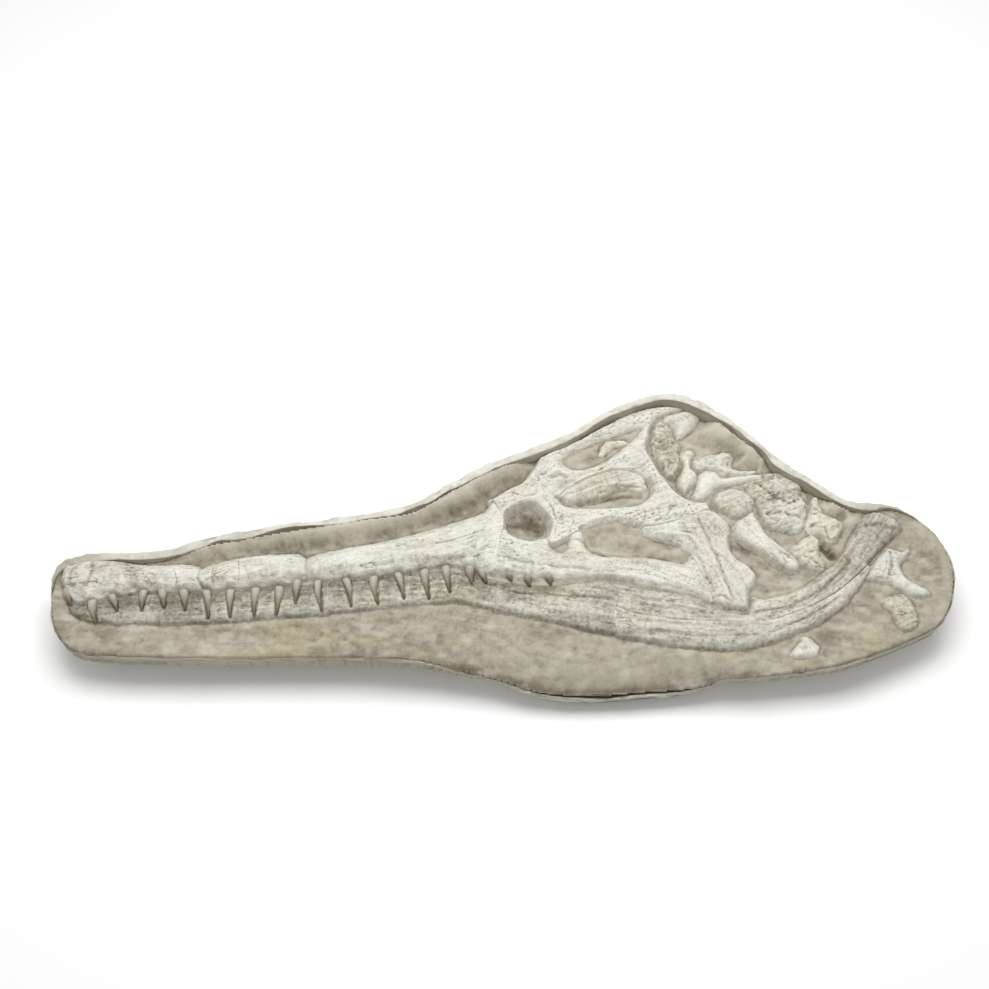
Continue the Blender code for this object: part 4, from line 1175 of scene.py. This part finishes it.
def blend(tree, share, first, second, mode="MIX"):
    made = add(tree, "Mix", data_type="RGBA", blend_type=mode)
    for number, value in ((0, share), (6, first), (7, second)):
        if isinstance(value, bpy.types.NodeSocket):
            tree.links.new(value, made.inputs[number])
        else:
            made.inputs[number].default_value = (*value, 1) if number else value
    return made.outputs[2]


def spread(tree, value, low, high):
    return add(tree, "MapRange", {"Value": value, "To Min": low, "To Max": high}).outputs["Result"]


def surface(name, paint_nodes, rough, bumps):
    """A material: a colour made by paint_nodes(tree), a roughness range and layers of bump."""
    made = bpy.data.materials.new(name)
    made.use_nodes = True
    tree = made.node_tree
    tree.nodes.clear()
    colour = paint_nodes(tree)
    grain = noise(tree, 420, 3)
    normal = None
    for scale, depth, detail in bumps:
        values = {"Height": noise(tree, scale, detail), "Distance": depth, "Strength": 1.0}
        if normal:
            values["Normal"] = normal
        normal = add(tree, "Bump", values).outputs["Normal"]
    values = {"Base Color": colour, "Roughness": spread(tree, grain, *rough), "Normal": normal}
    values["Specular IOR Level"] = SHINE
    shader = add(tree, "BsdfPrincipled", values)
    add(tree, "OutputMaterial", {"Surface": shader.outputs["BSDF"]})
    return made


def bone_paint(tree):
    tone = sum_of(tree, attribute(tree, "tone"), noise(tree, 320, 5, 0.7), 0.36)
    tone = sum_of(tree, tone, noise(tree, 1100, 3, 0.6), 0.2)
    colour = ramp(tree, tone, [
        (0.00, (0.11, 0.094, 0.072)), (0.28, (0.265, 0.242, 0.198)), (0.46, (0.46, 0.444, 0.382)),
        (0.62, (0.61, 0.602, 0.536)), (0.8, (0.705, 0.702, 0.64)), (1.00, (0.77, 0.768, 0.715)),
    ])
    for scale, stretch, low in ((230, 2.6, 0.56), (520, 1.8, 0.58)):
        marks = {"Value": noise(tree, scale, 5, 0.65, stretch), "From Min": low, "From Max": low + 0.1,
                 "To Min": 0.0, "To Max": 0.7}
        flecks = add(tree, "MapRange", marks).outputs["Result"]
        colour = blend(tree, flecks, colour, (0.62, 0.6, 0.56), "MULTIPLY")
    for name, most, tint in (("warm", 0.4, (0.98, 0.92, 0.79)), ("stain", 0.35, (0.78, 0.79, 0.8))):
        share = add(tree, "Math", {0: attribute(tree, name), 1: most}, operation="MULTIPLY").outputs[0]
        colour = blend(tree, share, colour, tint, "MULTIPLY")
    return colour


def tooth_paint(tree):
    share = sum_of(tree, attribute(tree, "share"), noise(tree, 160, 4), 0.5)
    return ramp(tree, share, [
        (0.05, (0.44, 0.42, 0.36)), (0.32, (0.33, 0.3, 0.235)), (0.56, (0.21, 0.18, 0.125)),
        (0.85, (0.12, 0.095, 0.065)),
    ])


def sediment_paint(tree):
    tone = sum_of(tree, attribute(tree, "tone"), noise(tree, 240, 6, 0.75), 0.45)
    tone = sum_of(tree, tone, noise(tree, 900, 3, 0.6), 0.25)
    colour = ramp(tree, tone, [
        (0.00, (0.11, 0.092, 0.065)), (0.3, (0.25, 0.222, 0.168)), (0.5, (0.37, 0.338, 0.266)),
        (0.7, (0.465, 0.432, 0.35)), (1.00, (0.59, 0.562, 0.475)),
    ])
    yellow = spread(tree, attribute(tree, "warm"), 0.0, 0.55)
    colour = blend(tree, yellow, colour, (1.0, 0.93, 0.72), "MULTIPLY")
    return blend(tree, spread(tree, attribute(tree, "stain"), 0.0, 0.45), colour, (0.6, 0.575, 0.49))


def plaster_paint(tree):
    tone = sum_of(tree, attribute(tree, "tone"), noise(tree, 180, 5, 0.7), 0.35)
    colour = ramp(tree, tone, [
        (0.00, (0.24, 0.215, 0.165)), (0.35, (0.47, 0.445, 0.375)), (0.6, (0.62, 0.605, 0.535)),
        (1.00, (0.74, 0.73, 0.67)),
    ])
    colour = blend(tree, spread(tree, attribute(tree, "warm"), 0.0, 0.9), colour, (0.4, 0.37, 0.29))
    # On the jacket the stain attribute makes the hull darker towards the floor.
    return blend(tree, attribute(tree, "stain"), colour, (0.33, 0.3, 0.245))


# Floor, light and camera.

FLOOR_HALF = 8.0
FLOOR_COLOUR = (0.9, 0.9, 0.895, 1)
WORLD_STRENGTH = 0.56
LIGHT_PLACE = (0.0, 0.55, 2.5)
LIGHT_AIM = (0.05, 0.0, 0.0)
LIGHT_SIZE = (2.0, 1.2)
LIGHT_WATTS = 55


def make_floor():
    mesh = bpy.data.meshes.new("studio_floor")
    corners = [(x * FLOOR_HALF, y * FLOOR_HALF, 0) for x, y in ((-1, -1), (1, -1), (1, 1), (-1, 1))]
    mesh.from_pydata(corners, [], [(0, 1, 2, 3)])
    floor = linked("studio_floor", mesh)
    plain = bpy.data.materials.new("studio_floor")
    plain.use_nodes = True
    shader = plain.node_tree.nodes["Principled BSDF"]
    shader.inputs["Base Color"].default_value = FLOOR_COLOUR
    shader.inputs["Roughness"].default_value = 0.85
    shader.inputs["Specular IOR Level"].default_value = 0.1
    mesh.materials.append(plain)


def make_light():
    world = bpy.data.worlds.new("studio")
    world.use_nodes = True
    background = world.node_tree.nodes["Background"]
    background.inputs["Color"].default_value = (1.0, 1.0, 1.0, 1)
    background.inputs["Strength"].default_value = WORLD_STRENGTH
    bpy.context.scene.world = world
    light = bpy.data.lights.new("overhead", "AREA")
    light.shape = "RECTANGLE"
    light.size, light.size_y = LIGHT_SIZE
    light.energy = LIGHT_WATTS
    lamp = linked("overhead", light)
    lamp.location = LIGHT_PLACE
    lamp.rotation_euler = (Vector(LIGHT_AIM) - Vector(LIGHT_PLACE)).to_track_quat("-Z", "Y").to_euler()
    bpy.context.scene.view_settings.view_transform = "Standard"


def make_camera():
    view = bpy.data.cameras.new("camera")
    view.lens = SENSOR_MM * FOCAL_PX / FRAME_PX
    view.sensor_width = SENSOR_MM
    view.clip_end = 50
    camera = linked("camera", view)
    camera.location = EYE
    camera.rotation_euler = (math.pi / 2 - VIEW_TILT, 0, 0)
    bpy.context.scene.camera = camera


clear_defaults()
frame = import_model()
CAD_BOX = [list(corner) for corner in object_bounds()]
CAD_TOP = CAD_BOX[1][2]
NODES = frame["nodes"]
BONE_NAMES = [name for name in NODES if name not in ("jacket", "matrix")]
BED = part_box("loose_vertebra")[0].z - CAD_GAP
OUTLINES = {name: seen_outline(name) for name in BONE_NAMES}
RING = rim_ring()
BONE = surface("fossil_bone", bone_paint, (0.55, 0.85), [(260, 0.0006, 5), (900, 0.0003, 3)])
TOOTH = surface("tooth_enamel", tooth_paint, (0.3, 0.6), [(300, 0.0003, 4)])
SEDIMENT = surface("sandy_sediment", sediment_paint, (0.8, 0.98), [(220, 0.0012, 6), (1000, 0.0006, 3)])
PLASTER = surface("field_plaster", plaster_paint, (0.75, 0.95), [(200, 0.001, 5), (1200, 0.0004, 3)])
make_floor()
make_light()
make_camera()
make_bones()
make_teeth("upper_teeth", UPPER_TEETH, UPPER_LEVELS, 701)
make_teeth("lower_teeth", LOWER_TEETH, LOWER_LEVELS, 702)
make_matrix()
make_jacket()
